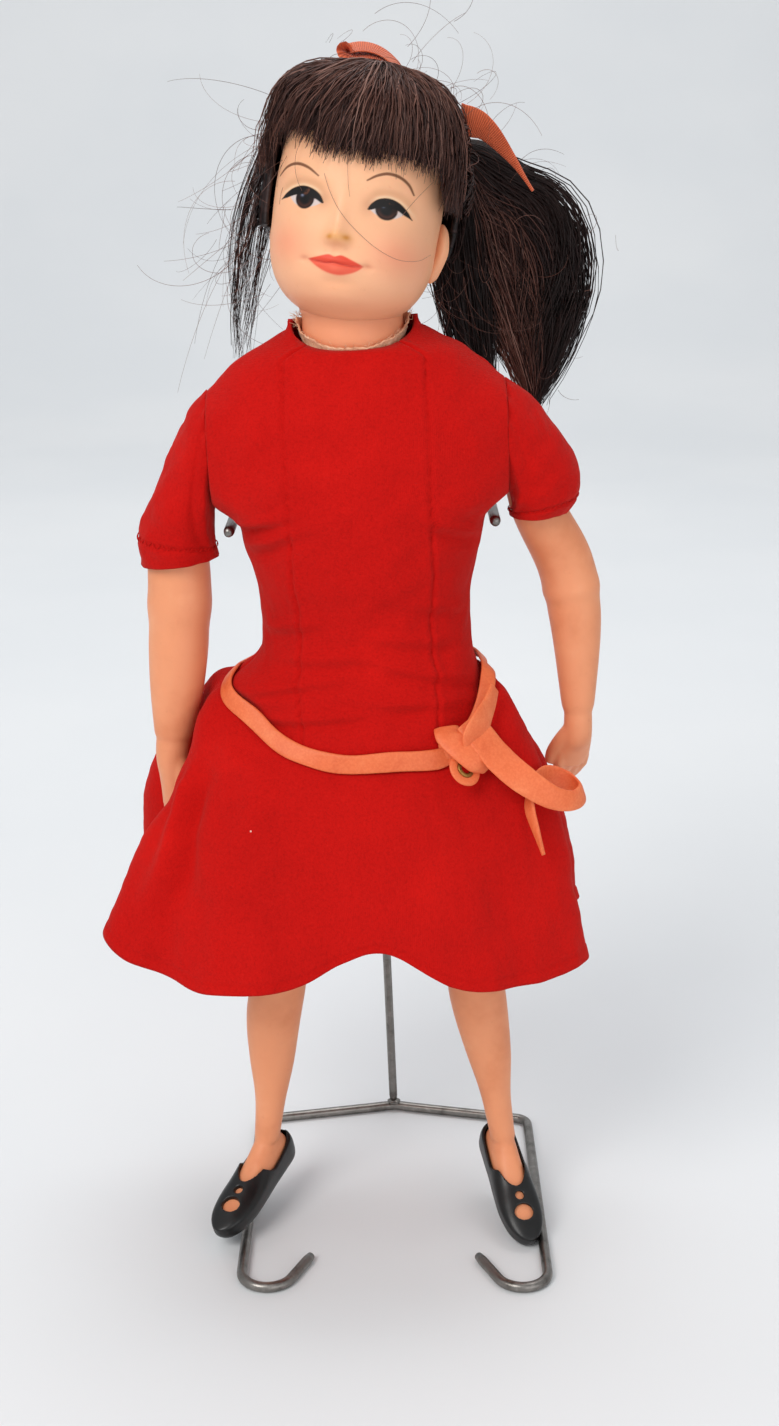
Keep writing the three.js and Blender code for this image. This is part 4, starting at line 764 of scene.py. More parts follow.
def skirt(cotton_look):
    """The dress below the belt: folds, gathers, the wings behind the hands and the stitched hem."""
    columns, rows = 380, 84
    angle, t = net(columns, rows)
    grid = skirt_point(angle, t)
    grid[..., 2] -= 0.3 * (1 - t)
    normal = outward_of(grid)
    degrees = np.degrees(angle)
    raised = 0.9 * t ** 0.8 * ripple(grid, 30, 11, 2) + 0.3 * ripple(grid, 11, 12, 2)
    # Gathers that fan out from the waist, and creases beside the hands
    for at, spread, high in ((-64, 7, -0.9), (-38, 6, 0.6), (-20, 6, -0.5), (16, 7, 0.6), (34, 6, -0.7),
                             (62, 6, 0.7), (-150, 8, -0.6), (150, 8, -0.6), (125, 7, 0.5), (-125, 7, 0.5)):
        raised += high * np.sin(PI * np.clip(t, 0, 1) ** 0.6) * bell(degrees - at, 5 * t, spread)
    # At the doll's right the waist stands out and the thigh falls in; at its left the back wing swings out
    raised += 2.9 * bell(degrees, -90, 34) * (bell(t, 0.11, 0.1) - 0.5 * bell(t, 0.38, 0.12))
    raised += 2.2 * bell(degrees, -112, 15) * bell(t, 0.05, 0.06)
    wing = smoothstep(0.16, 0.48, t) * (1 - 0.45 * smoothstep(0.6, 1, t))
    raised += 4.6 * wing * bell(degrees, 116, 13) - 5.2 * wing * bell(degrees, 89, 9)
    raised += 0.9 * wing * bell(degrees, 68, 6)
    right_wing = smoothstep(0.03, 0.3, t) * (1 - 0.85 * smoothstep(0.45, 0.9, t))
    raised += 10.0 * right_wing * bell(degrees, -120, 12)
    raised += 2.0 * bell(degrees, -72, 15) * smoothstep(0.25, 0.55, t)
    # The ridge and the crease beside the hidden hand
    bend = 5 * np.sin(t * 7.5)
    for high, at, spread in ((2.2, -61, 3.2), (-3.4, -53, 3.6)):
        raised += (high * bell(degrees - at, -bend, spread) * smoothstep(0.12, 0.35, t)
                   * (1 - 0.8 * smoothstep(0.5, 0.8, t)))
    raised -= 1.6 * bell(degrees, -48, 5) * smoothstep(0.45, 0.75, t)
    for at in (-90, 90, 180, -180):
        raised -= 0.45 * bell((degrees - at) / 57.3 * np.hypot(grid[..., 0], grid[..., 1]), 0, 0.5)
    # A few shallow cross creases at the image's left hip and by the knot
    for at, down, long, thick, high in ((-55, 0.1, 14, 0.03, 0.7), (-60, 0.2, 12, 0.03, -0.5),
                                        (-70, 0.33, 10, 0.05, 0.6), (30, 0.12, 14, 0.03, -0.5),
                                        (-20, 0.1, 16, 0.03, 0.35), (58, 0.25, 10, 0.05, 0.5)):
        raised += high * bell(degrees, at, long) * bell(t, down, thick)
    raised *= smoothstep(0.0, 0.05, t)
    raised -= 0.28 * bell((1 - t) * SKIRT_LENGTH, SKIRT_STITCHING, 0.4)
    grid = grid + normal * raised[..., None]
    grid[..., 2] += 0.35 * np.sin(degrees / 4.3) * t ** 6 + 2.3 * bell(degrees, -12, 42) * t ** 2
    uv = np.stack([angle * 0.045, t * SKIRT_LENGTH / 1000], -1)
    obj = mesh_object("skirt", figure(grid), grid_faces(rows, columns, True), cotton_look, uv=uv)
    thicken(obj, CLOTH_THICKNESS)
    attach(obj, "torso")
    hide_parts("skirt_front", "skirt_back_left", "skirt_back_right")
    return obj


SLEEVES = {
    "right": {
        "crown": [(37.2, 233.8), (40.5, 231.2), (44.6, 225), (49.8, 214.5), (54.4, 205.5), (57.4, 198),
                  (57.4, 190)],
        "underarm": [(37.2, 206.3), (37.5, 203.2), (37.7, 200), (37.6, 196), (37.5, 191.5)],
        "back": 1.8,
    },
    "left": {
        "crown": [(37.2, 233.8), (41, 231.5), (46, 226.5), (51.8, 218), (56.0, 209.5), (55.4, 203.5),
                  (52.6, 199)],
        "underarm": [(37.2, 206.3), (37.5, 204.4), (37.7, 202.6), (37.6, 200.6), (37.6, 198.4)],
        "back": 5.6,
    },
}
SLEEVE_LINES = {
    name: [Route([(x, 0, z) for x, z in shape[line]]) for line in ("crown", "underarm")]
    for name, shape in SLEEVES.items()
}
ARMHOLE_DEPTH = 11.4
CUFF_DEPTH = 10.4
SLEEVE_PUFF = 1.2


def sleeve_grid(name, v, turn):
    """Points of a sleeve on the left side: v runs from armhole to hem, turn goes round."""
    shape = SLEEVES[name]
    crown, under = SLEEVE_LINES[name][0].at(v), SLEEVE_LINES[name][1].at(v)
    middle = (crown + under) / 2
    depth = lerp(ARMHOLE_DEPTH, CUFF_DEPTH, v) + SLEEVE_PUFF * np.sin(PI * v)
    point = middle + (crown - under) / 2 * np.cos(turn)[..., None]
    point[..., 1] += depth * np.sin(turn) + shape["back"] * v
    point[..., 0] = np.maximum(point[..., 0], ARM_PLANE)
    return point


def sleeve(name, side, cotton_look):
    """A short set-in sleeve that turns with its arm, and its hem stitches."""
    columns, rows = 190, 84
    turn, v = net(columns, rows, 0)
    grid = sleeve_grid(name, v, turn)
    normal = outward_of(grid)
    raised = 0.45 * smoothstep(0.05, 0.3, v) * ripple(grid, 13, 21 if side > 0 else 22)
    raised += 0.4 * bell(v, 0, 0.07) * np.sin(turn * 13) * smoothstep(-0.4, 0.5, np.cos(turn))
    # Creases that run from the underarm across the sleeve
    for at, lean, high in ((2.4, 0.9, 0.7), (2.0, 1.4, -0.5), (-2.3, 1.0, 0.6), (-1.9, 1.5, -0.45),
                           (1.2, 1.1, 0.4)):
        raised += high * np.sin(PI * v) * bell(turn - (at % (2 * PI)), -lean * (v - 0.5), 0.16)
    hem = SLEEVE_LENGTH * (1 - v)
    raised -= 0.35 * bell(hem, SLEEVE_STITCHING, 0.28)
    raised += 0.14 * smoothstep(SLEEVE_STITCHING, 1.4, hem)
    raised -= 0.4 * bell(np.abs(turn - PI) * 11, 0, 0.5)
    grid = grid + normal * raised[..., None]
    grid[..., 0] = np.maximum(grid[..., 0], ARM_PLANE - 0.25)
    grid[..., 0] *= side
    uv = np.stack([turn * 0.011, v * 0.038], -1)
    obj = mesh_object(f"sleeve_{name}_cloth", figure(grid), grid_faces(rows, columns, True), cotton_look, uv=uv)
    thicken(obj, CLOTH_THICKNESS)
    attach(obj, f"arm_{name}")
    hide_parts(f"sleeve_{name}")
    # Hem stitches: short slanted threads along the groove
    stitches, count = [], 46
    hem_v = 1 - SLEEVE_STITCHING / SLEEVE_LENGTH
    for i in range(count):
        start = 2 * PI * i / count
        ends = []
        for share in (0, 1 / 3, 2 / 3, 1):
            a = start + 0.07 * share
            slant = 0.03 * (share - 0.5) * (1 if i % 2 else -1)
            here = sleeve_grid(name, np.array([hem_v + slant]), np.array([a]))[0]
            out = here - sleeve_grid(name, np.array([hem_v]), np.array([a + PI]))[0]
            ends.append(here + out / np.linalg.norm(out) * (0.05 + 0.22 * math.sin(PI * share)))
        stitches.append(ends)
    line = np.array(stitches)
    line[..., 0] *= side
    sewn = tubes(f"sleeve_{name}_stitches", figure(line), 0.14, cotton_look, sides=5, taper=0.9)
    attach(sewn, f"arm_{name}")


def lining(look):
    """The raw pale edge inside the collar, with the threads that stand out of it."""
    columns, rows, count = 240, 10, 150
    angle, v = net(columns, rows)
    radius = NECK_RADIUS + 0.3
    fray = 0.35 * np.sin(angle * 31) * np.sin(angle * 17 + 1) + 0.3 * np.sin(angle * 9 + 2)
    height = neckline(angle) + lerp(-2.1, 0.55 + fray * 0.5, v)
    spread = 0.2 * np.sin(angle * 23 + 3) * v ** 2 + 0.7 * v ** 3
    grid = np.stack([(radius + spread) * np.sin(angle), -(radius + spread) * np.cos(angle), height], -1)
    uv = np.stack([angle * 0.013, v * 0.003], -1)
    obj = mesh_object("neck_lining", figure(grid), grid_faces(rows, columns, True), look, uv=uv)
    thicken(obj, LINING_THICKNESS)
    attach(obj, "torso")
    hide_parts("neck_facing")
    frays = []
    source = np.random.RandomState(4)
    for _ in range(count):
        a = source.uniform(-PI, PI)
        r = radius + source.uniform(0.4, 1.3)
        z = neckline(np.array(a)) + source.uniform(0.2, 1.0)
        start = np.array([r * math.sin(a), -r * math.cos(a), z])
        way = np.array([math.sin(a), -math.cos(a), 0.9])
        drift = way * source.uniform(0.3, 1.2) + source.normal(size=3) * 0.35
        bend = source.normal(size=3) * 0.3
        frays.append([start + drift * s + bend * math.sin(PI * s) for s in np.linspace(0, 1, 5)])
    threads = tubes("neck_lining_threads", figure(frays), 0.07, look)
    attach(threads, "torso")
    return [obj, threads]


# Belt

def band(name, centre, across, outward, width, thickness, look, body, closed=False, sides=14, bow=0.0,
         widths=None):
    """A flat strap along a line: its width lies along across, its thickness along outward."""
    steps = len(centre)
    turn = circle(sides)
    flat_c, flat_s = signed_power(np.cos(turn), 0.35), signed_power(np.sin(turn), 0.7)
    size = np.full(steps, width) if widths is None else np.asarray(widths)
    grid = (centre[:, None] + across[:, None] * (flat_c[None, :, None] * size[:, None, None] / 2)
            + outward[:, None] * ((flat_s * thickness / 2)[None, :, None] - bow * (flat_c ** 2)[None, :, None]))
    faces = grid_faces(steps + closed, sides, True) % (steps * sides)
    length = np.concatenate([[0], np.cumsum(np.linalg.norm(np.diff(centre, axis=0), axis=1))])
    uv = np.stack([np.repeat(length, sides), np.tile(flat_c * width / 2, steps)], -1) / 1000
    obj = recalc(mesh_object(name, figure(grid), faces, look, uv=uv), close=not closed)
    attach(obj, body)
    return obj


def belt(look, metal):
    """The strap round the hips, its knot and hanging end, and the eyelet in its tip."""
    angle = circle(420, -PI)
    line = belt_line(angle)
    below = 1.6
    low = skirt_point(angle, below / (line - HEM_HEIGHT))
    low[:, 2] = line - below
    high = dress_point(line + BELT_WIDTH - below, angle)
    outward = unit(np.stack([low[:, 0], low[:, 1] * 1.6, np.zeros_like(angle)], -1))
    across = unit(high - low)
    normal = unit(np.cross(across, np.roll(low, -1, 0) - np.roll(low, 1, 0)))
    normal *= np.sign(np.sum(normal * outward, 1, keepdims=True))
    centre = (low + high) / 2 + normal * (0.75 + 0.12 * np.sin(angle * 7))[:, None]
    centre[:, 2] += 0.25 * np.sin(angle * 5 + 1) + 0.15 * np.sin(angle * 11)
    width = BELT_WIDTH * (0.98 + 0.05 * np.sin(angle * 3 + 0.5) + 0.02 * np.sin(angle * 17))
    round_strap = band("belt_band", centre, across, normal, BELT_WIDTH, 0.95, look, "torso", closed=True,
                       widths=width)
    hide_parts("belt_strap")

    # The knot: the strap from the hip twists down, a broad flap folds over it, and the free end
    # runs out from under both, loops round in the air and hangs down in a narrow tip
    def strap(name, points, widths, facing, bow=0.25, steps=90):
        """A piece of strap through places in the doll's frame, its face turned to a direction at each."""
        route, look_at = Route(points), Route(facing)
        t = np.linspace(0, 1, steps)
        tangent, face = route.frame(t)[0], look_at.at(t)
        wide = unit(np.cross(face, tangent))
        face = np.cross(tangent, wide)
        size = np.interp(t, np.linspace(0, 1, len(widths)), widths)
        piece = band(name, route.at(t), wide, face, BELT_WIDTH, 0.9, look, "torso", bow=bow, widths=size,
                     sides=22)
        return piece

    out, up = np.array([0.66, -0.75, 0]), np.array([0, 0, 1.0])
    side = np.array([0.75, 0.66, 0])
    strap("belt_knot_cross", [(32.0, -14.2, 157.6), (30.6, -17.4, 154.6), (28.4, -21.6, 151.6),
                              (26.2, -24, 148), (25.6, -24.2, 145)],
          [4.4, 5.2, 7.0, 7.6, 5.4], [(0.9, -0.4, 0.2), (0.8, -0.6, 0.15), (0.66, -0.75, 0.1), (0.6, -0.8, 0),
                                      (0.6, -0.8, -0.2)])
    over_it = strap("belt_knot_over", [(19.2, -20.4, 149.8), (19.9, -23.2, 148.4), (23.2, -26.2, 145.4),
                                       (26.4, -27.2, 142.2), (28.8, -25.2, 139.6)],
                    [6.4, 7.2, 6.6, 5.4, 3.0], [(0.1, -0.6, 0.8), (0.3, -0.9, 0.4), (0.5, -0.85, 0.15),
                                                (0.6, -0.8, -0.1), (0.6, -0.6, -0.6)],
                    bow=0.4)
    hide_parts("belt_knot")
    strap("belt_knot_fold", [(17.2, -20.8, 144.6), (20.5, -22.6, 144.4), (24, -23.4, 144.6),
                             (27.4, -22.4, 146.6)],
          [5.0, 5.4, 5.4, 5], [(0.45, -0.9, 0), (0.5, -0.85, 0), (0.6, -0.8, 0), (0.66, -0.75, 0)], bow=0.15)
    tail = strap("belt_end", [(24.4, -20.6, 151.2), (27.6, -22.6, 148.2), (31.9, -25.4, 143),
                              (38, -28.4, 137.8), (45.6, -28.6, 132.6), (51, -25.6, 130.8),
                              (53.4, -20.4, 131.2), (51, -16.6, 132), (47, -16.2, 133.4), (43.4, -18.6, 134.4),
                              (39.6, -22.4, 132.4), (39.4, -25.4, 128.6), (40.6, -27.6, 124),
                              (42.4, -29.6, 117.8)],
                 [6.8, 8.0, 8.5, 7.4, 5.9, 5.0, 5.0, 6.2, 7.0, 6.8, 6.0, 4.4, 2.8, 0.7],
                 [(0.6, -0.8, 0.1), (0.6, -0.8, 0.1), (0.6, -0.8, 0.15), (0.4, -0.9, 0.2), (0.2, -1, 0.25),
                  (0.7, -0.7, 0.3),
                  (1, 0.1, 0.3), (0.6, 0.8, 0.2), (0, 1, 0.2), (-0.7, 0.6, 0), (-0.9, -0.1, 0), (-0.8, -0.5, 0),
                  (-0.8, -0.6, 0), (-0.8, -0.6, 0)], bow=0.2, steps=190)
    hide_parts("belt_tail")

    # The eyelet: a rolled metal rim set in the rounded end of the strap, tipped up under the knot
    place = np.array([23.3, -26.9, 140.5])
    tip = math.radians(38)
    outward, upward = out * math.cos(tip) + up * math.sin(tip), up * math.cos(tip) - out * math.sin(tip)

    def ring_of(name, radius, thick, deep, shift, look_of):
        major, minor = 64, 16
        a, b = np.meshgrid(circle(major), circle(minor), indexing="ij")
        across = radius + thick * np.cos(b)
        points = place + outward * shift + side * (across * np.cos(a))[..., None]
        points = points + upward * (across * np.sin(a))[..., None] + outward * (deep * np.sin(b))[..., None]
        faces = grid_faces(major + 1, minor, True) % (major * minor)
        obj = recalc(mesh_object(name, figure(points), faces, look_of))
        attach(obj, "torso")
        return obj

    eyelet = ring_of("eyelet_ring", 1.75, 0.6, 0.5, 0.45, metal)
    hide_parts("belt_eyelet")
    tab = ring_of("belt_tab", 3.1, 1.35, 0.5, 0, look)


def strip_of(name, points, across, width, look, steps=120, bow=0.0, widths=None, thickness=RIBBON_THICKNESS):
    """A strip of the head's ribbon along points, its width kept near one direction."""
    route = Route(points)
    t = np.linspace(0, 1, steps)
    tangent = route.frame(t)[0]
    wide = np.broadcast_to(np.array(across, float), tangent.shape)
    wide = unit(wide - tangent * np.sum(wide * tangent, 1, keepdims=True))
    size = None if widths is None else widths(t) * width
    return band(name, route.at(t), wide, np.cross(tangent, wide), width, thickness, look, "head", bow=bow,
                widths=size,
                sides=18)


# Head

HEAD_HALF_WIDTH = 20
HEAD_DEPTH = 23.5
HEAD_HALF_HEIGHT = 29.5
HEAD_SCALE = np.array([HEAD_HALF_WIDTH, HEAD_DEPTH, HEAD_HALF_HEIGHT])
HEAD_CENTRE = np.array([3, 0, 278.0])
HEAD_YAW = -10
HEAD_ROLL = 10.3
HEAD_PITCH = -8
FRINGE_EDGE = [(-21, 12.6), (-16, 12.2), (-9.6, 11.0), (-6.3, 9), (-0.9, 8), (2.4, 7.5), (7.7, 8.3),
               (13.1, 7.4), (21, 7.5)]
HAIRLINE_DEPTH = -6.3


def turned(x, y, z):
    """Rotation matrix of three angles in degrees: about Y, then X, then Z, from the outside in."""
    a, b, c = (math.radians(v) for v in (x, y, z))
    rx = np.array([[1, 0, 0], [0, math.cos(a), -math.sin(a)], [0, math.sin(a), math.cos(a)]])
    ry = np.array([[math.cos(b), 0, math.sin(b)], [0, 1, 0], [-math.sin(b), 0, math.cos(b)]])
    rz = np.array([[math.cos(c), -math.sin(c), 0], [math.sin(c), math.cos(c), 0], [0, 0, 1]])
    return ry @ rx @ rz


HEAD_TURN = turned(HEAD_PITCH, HEAD_ROLL, HEAD_YAW)


def on_head(points):
    """Head's own frame in mm, from its centre, to the shared frame in metres."""
    points = np.asarray(points, float)
    return figure((points.reshape(-1, 3) @ HEAD_TURN.T + HEAD_CENTRE).reshape(points.shape))


head_taper = profile([
    [-30, 1.2, 1.24, 0.44], [-26, 1.24, 1.22, 0.5], [-22, 1.2, 1.16, 0.58], [-16, 1.13, 1.04, 0.7],
    [-8, 1.04, 0.98, 0.86], [3, 1.01, 0.95, 1.02], [14, 1.03, 0.99, 1.1], [30, 1.0, 1.0, 1.0],
])

# Bumps and hollows: across, up, how far out, spread across, spread up
FACE_RELIEF = [
    (0, -10.6, 2.6, 1.75, 1.75), (0, -6.5, 1.2, 1.35, 3.4), (-1.9, -11.4, 0.7, 0.95, 0.9),
    (1.9, -11.4, 0.7, 0.95, 0.9), (0.3, -16.2, 1.25, 3.6, 1.15), (0.9, -18.3, 0.95, 2.7, 1.0),
    (0.6, -16.75, -0.55, 4.6, 0.32), (0.2, -13.6, -0.35, 0.6, 1.0), (0.8, -20.9, -0.5, 2.6, 0.8),
    (0.6, -25.0, 0.9, 4.0, 2.4), (-7.4, -16.5, -0.45, 1.0, 0.9), (7.5, -16.6, -0.45, 1.0, 0.9),
    (-9.6, -2.6, -1.7, 3.9, 2.7), (10.2, -2.8, -1.7, 3.9, 2.7), (-9.6, -2.4, 1.0, 2.8, 1.7),
    (10.2, -2.6, 1.0, 2.8, 1.7), (-11.5, -13, 0.9, 4.6, 4.2), (11.5, -13, 0.9, 4.6, 4.2),
    (-9.6, 1.9, 0.35, 4.0, 0.9), (10.2, 1.7, 0.35, 4.0, 0.9),
]


def head_point(angle, up, lift, relief=False):
    """A point of the head, lifted off it; relief adds the features of the face."""
    angle, up = np.broadcast_arrays(np.asarray(angle, float), np.asarray(up, float))
    wide, front, back = read(head_taper, up)
    sine = np.clip(up / HEAD_HALF_HEIGHT, -1, 1)
    around = np.sqrt(np.maximum(1 - sine ** 2, 0)) ** 0.85
    depth = HEAD_DEPTH * np.where(np.cos(angle) > 0, front, back)
    x = HEAD_HALF_WIDTH * wide * around * signed_power(np.sin(angle), 0.94)
    y = -depth * around * signed_power(np.cos(angle), 0.94)
    point = np.stack([x, y, up], -1)
    point = point + unit(point / HEAD_SCALE ** 2) * np.asarray(lift, float)[..., None]
    if relief:
        facing = np.cos(angle) > 0
        for across, height, out, wide_by, tall in FACE_RELIEF:
            felt = np.exp(-(((point[..., 0] - across) / wide_by) ** 2 + ((point[..., 2] - height) / tall) ** 2)
                          / 2)
            point[..., 1] -= np.where(facing, out * felt, 0)
    return point


def smooth_line(points, samples=60):
    return Route([(x, 0, z) for x, z in points], samples=samples).points[:, [0, 2]]


def distance_to(x, z, line):
    """Distance of each point to a fine line, and how far along the line it lies, 0 to 1."""
    flat = np.stack([x.ravel(), z.ravel()], -1)
    best = np.full(len(flat), 1e9)
    along = np.zeros(len(flat))
    for i in range(len(line) - 1):
        a, b = line[i], line[i + 1]
        step = b - a
        t = np.clip(((flat - a) @ step) / max(step @ step, 1e-12), 0, 1)
        away = np.linalg.norm(flat - a - t[:, None] * step, axis=1)
        closer = away < best
        best[closer] = away[closer]
        along[closer] = (i + t[closer]) / (len(line) - 1)
    return best.reshape(x.shape), along.reshape(x.shape)


def over(paint, mask, colour):
    mask = np.clip(mask, 0, 1)[..., None]
    return paint * (1 - mask) + np.array(colour) * mask


EYES = {
    "right": {
        "lid": [(-4.6, -3.4), (-5.9, -2.0), (-7.9, -1.0), (-10.2, -0.6), (-12.6, -1.15), (-14.3, -2.1),
                (-15.9, -3.2)],
        "low": [(-4.6, -3.3), (-6.6, -4.3), (-9.2, -4.75), (-11.6, -4.2), (-13.4, -2.6)],
        "iris": (-9.3, -2.75), "brow": [(-17.6, 2.4), (-15.4, 4.3), (-12.6, 5.0), (-9.5, 4.3), (-6.4, 2.5)],
    },
    "left": {
        "lid": [(6.2, -3.5), (7.2, -2.4), (8.5, -1.5), (10.4, -1.1), (12.4, -1.6), (14.2, -2.9), (15.7, -4.3)],
        "low": [(6.3, -3.4), (8.0, -4.5), (10.2, -4.9), (12.4, -4.6), (14.2, -3.2)],
        "iris": (10.1, -3.0), "brow": [(15.4, 1.4), (14.2, 3.3), (12.3, 4.6), (9.7, 5.0), (7.3, 4.2),
                                       (5.2, 2.8)],
    },
}
MOUTH_LINE = [(-6.7, -16.3), (-4.4, -16.55), (-2.0, -16.75), (-0.1, -16.5), (1.8, -16.75), (4.2, -16.9),
              (6.8, -16.55)]
UPPER_LIP = [(-6.7, -16.3), (-4.2, -15.6), (-1.5, -14.85), (-0.1, -15.2), (1.4, -14.75), (4.2, -15.6),
             (6.8, -16.55)]
LOWER_LIP = [(-6.7, -16.3), (-4.2, -17.9), (-1.6, -18.95), (1.2, -19.25), (3.6, -18.7), (5.4, -17.8),
             (6.8, -16.55)]


def height_on(line, x):
    order = np.argsort(line[:, 0])
    return np.interp(x, line[order, 0], line[order, 1])


def paint_face(x, z):
    """Colours of the painted face by place across and up the head, over a warm skin tone, with painted light
    and shade.
    """
    paint = np.ones(x.shape + (3,)) * np.array(rgb(246, 190, 154))

    def lay(mask, *colour):
        nonlocal paint
        paint = over(paint, mask, rgb(*colour))

    # Painted light: the middle of the face is painted paler, as if lit from the front
    lay(0.35 * spot(x, z, 0, -2, 12, 13), 252, 206, 168)
    for side in (-1, 1):
        lay(0.4 * spot(x - side * 13.2, z, 0.6, -13.2, 6.0, 4.6), 244, 138, 116)
    # Painted shade: darker towards the chin, and in the hollow under the lower lip
    lay(0.5 * smoothstep(-20, -27, z), 226, 152, 118)
    lay(0.30 * spot(x, z, 0, -21.6, 9, 1.6), 226, 158, 122)
    # Nose: ochre painted shade under the tip and in the nostrils, and a soft painted shade beside it
    lay(0.65 * spot(x, z, 0.5, -10.9, 3.0, 1.3), 232, 172, 98)
    for at, low in ((-1.45, -11.0), (2.35, -10.75)):
        lay(0.9 * spot(x, z, at, low, 0.8, 0.6), 212, 142, 58)
    lay(0.28 * spot(x, z, 0, -12.5, 2.6, 0.6), 222, 146, 112)
    for eye in EYES.values():
        lid, low = smooth_line(eye["lid"]), smooth_line(eye["low"])
        away, along = distance_to(x, z, lid)
        left, right = lid[:, 0].min(), lid[:, 0].max()
        over_lid = z - height_on(lid, x)
        above = smoothstep(-0.3, 0.5, over_lid)
        within = smoothstep(left - 1.5, left + 1.5, x) * (1 - smoothstep(right - 1.5, right + 1.5, x))
        lay(0.42 * above * within * bell(away, 1.9, 1.1), 196, 148, 112)
        # A painted highlight: a pale line along the lid just above the black lid line
        lay(0.55 * above * within * bell(away, 0.95, 0.35), 240, 220, 188)
        # Painted shade in the inner corner of the eye, by the nose
        lay(0.5 * spot(x, z - lid[0, 1], lid[0, 0], 0.9, 1.9, 2.1), 190, 132, 102)
        # White of the eye, between the two lids
        inside = smoothstep(-0.06, 0.12, height_on(lid, x) - z) * smoothstep(-0.1, 0.12, z - height_on(low, x))
        inside = inside * smoothstep(low[:, 0].min() - 0.05, low[:, 0].min() + 0.2, x)
        inside = inside * (1 - smoothstep(low[:, 0].max() - 0.2, low[:, 0].max() + 0.05, x))
        lay(inside, 216, 206, 210)
        iris_x, iris_z = eye["iris"]
        ring = np.hypot(x - iris_x, (z - iris_z) * 1.02)
        open_eye = smoothstep(-0.05, 0.15, height_on(lid, x) + 0.3 - z)
        lay(open_eye * (1 - smoothstep(2.3, 2.6, ring)), 28, 14, 13)
        lay(open_eye * bell(ring, 1.75, 0.3) * smoothstep(0.2, -1.2, z - iris_z) * 0.5, 84, 48, 36)
        lay(open_eye * (1 - smoothstep(1.05, 1.35, ring)), 8, 6, 8)
        # A painted reflection: a small bluish gleam on the iris, up and to the doll's right of its middle
        lay(0.7 * spot(x - iris_x, z - iris_z, -0.75, 0.75, 0.34, 0.34), 150, 165, 205)
        # Black lid line, thick over the iris and drawn out to a wing
        half = 0.16 + 0.5 * np.sin(PI * np.clip(along, 0, 1) ** 0.9) ** 0.7
        half = half * (1 - smoothstep(0.85, 1.0, along) * 0.7)
        below = smoothstep(0.2, -0.1, over_lid) * 0.62 * np.sin(PI * np.clip(along * 1.02, 0, 1) ** 0.8)
        lay(1 - smoothstep(half + below - 0.05, half + below + 0.14, away), 12, 8, 8)
        away, along = distance_to(x, z, smooth_line(eye["brow"]))
        half = 0.10 + 0.2 * np.sin(PI * np.clip(along, 0.02, 0.98)) ** 0.7
        lay(0.9 * (1 - smoothstep(half - 0.05, half + 0.16, away)), 104, 60, 34)
    line, upper, lower = smooth_line(MOUTH_LINE), smooth_line(UPPER_LIP), smooth_line(LOWER_LIP)
    spans = smoothstep(-6.9, -6.0, x) * (1 - smoothstep(6.0, 6.9, x))
    top = smoothstep(-0.22, 0.2, height_on(upper, x) - z) * smoothstep(-0.1, 0.1, z - height_on(line, x))
    bottom = smoothstep(-0.3, 0.3, z - height_on(lower, x)) * smoothstep(-0.1, 0.1, height_on(line, x) - z)
    lay(0.97 * spans * top, 226, 72, 52)
    lay(0.94 * spans * bottom, 234, 90, 70)
    # Painted highlight: a paler spot in the middle of the lower lip
    lay(0.4 * spans * bottom * spot(x, z, 0.2, -17.8, 2.0, 0.55), 250, 134, 110)
    away, along = distance_to(x, z, line)
    lay(0.75 * (1 - smoothstep(0.08, 0.34, away)) * np.sin(PI * along) ** 0.4, 186, 44, 36)
    # Painted shade in the dimples at the corners of the mouth
    for at_x, at_z in ((-7.5, -16.0), (7.6, -16.3)):
        lay(0.4 * spot(x, z, at_x, at_z, 1.1, 0.5), 204, 112, 88)
    return paint


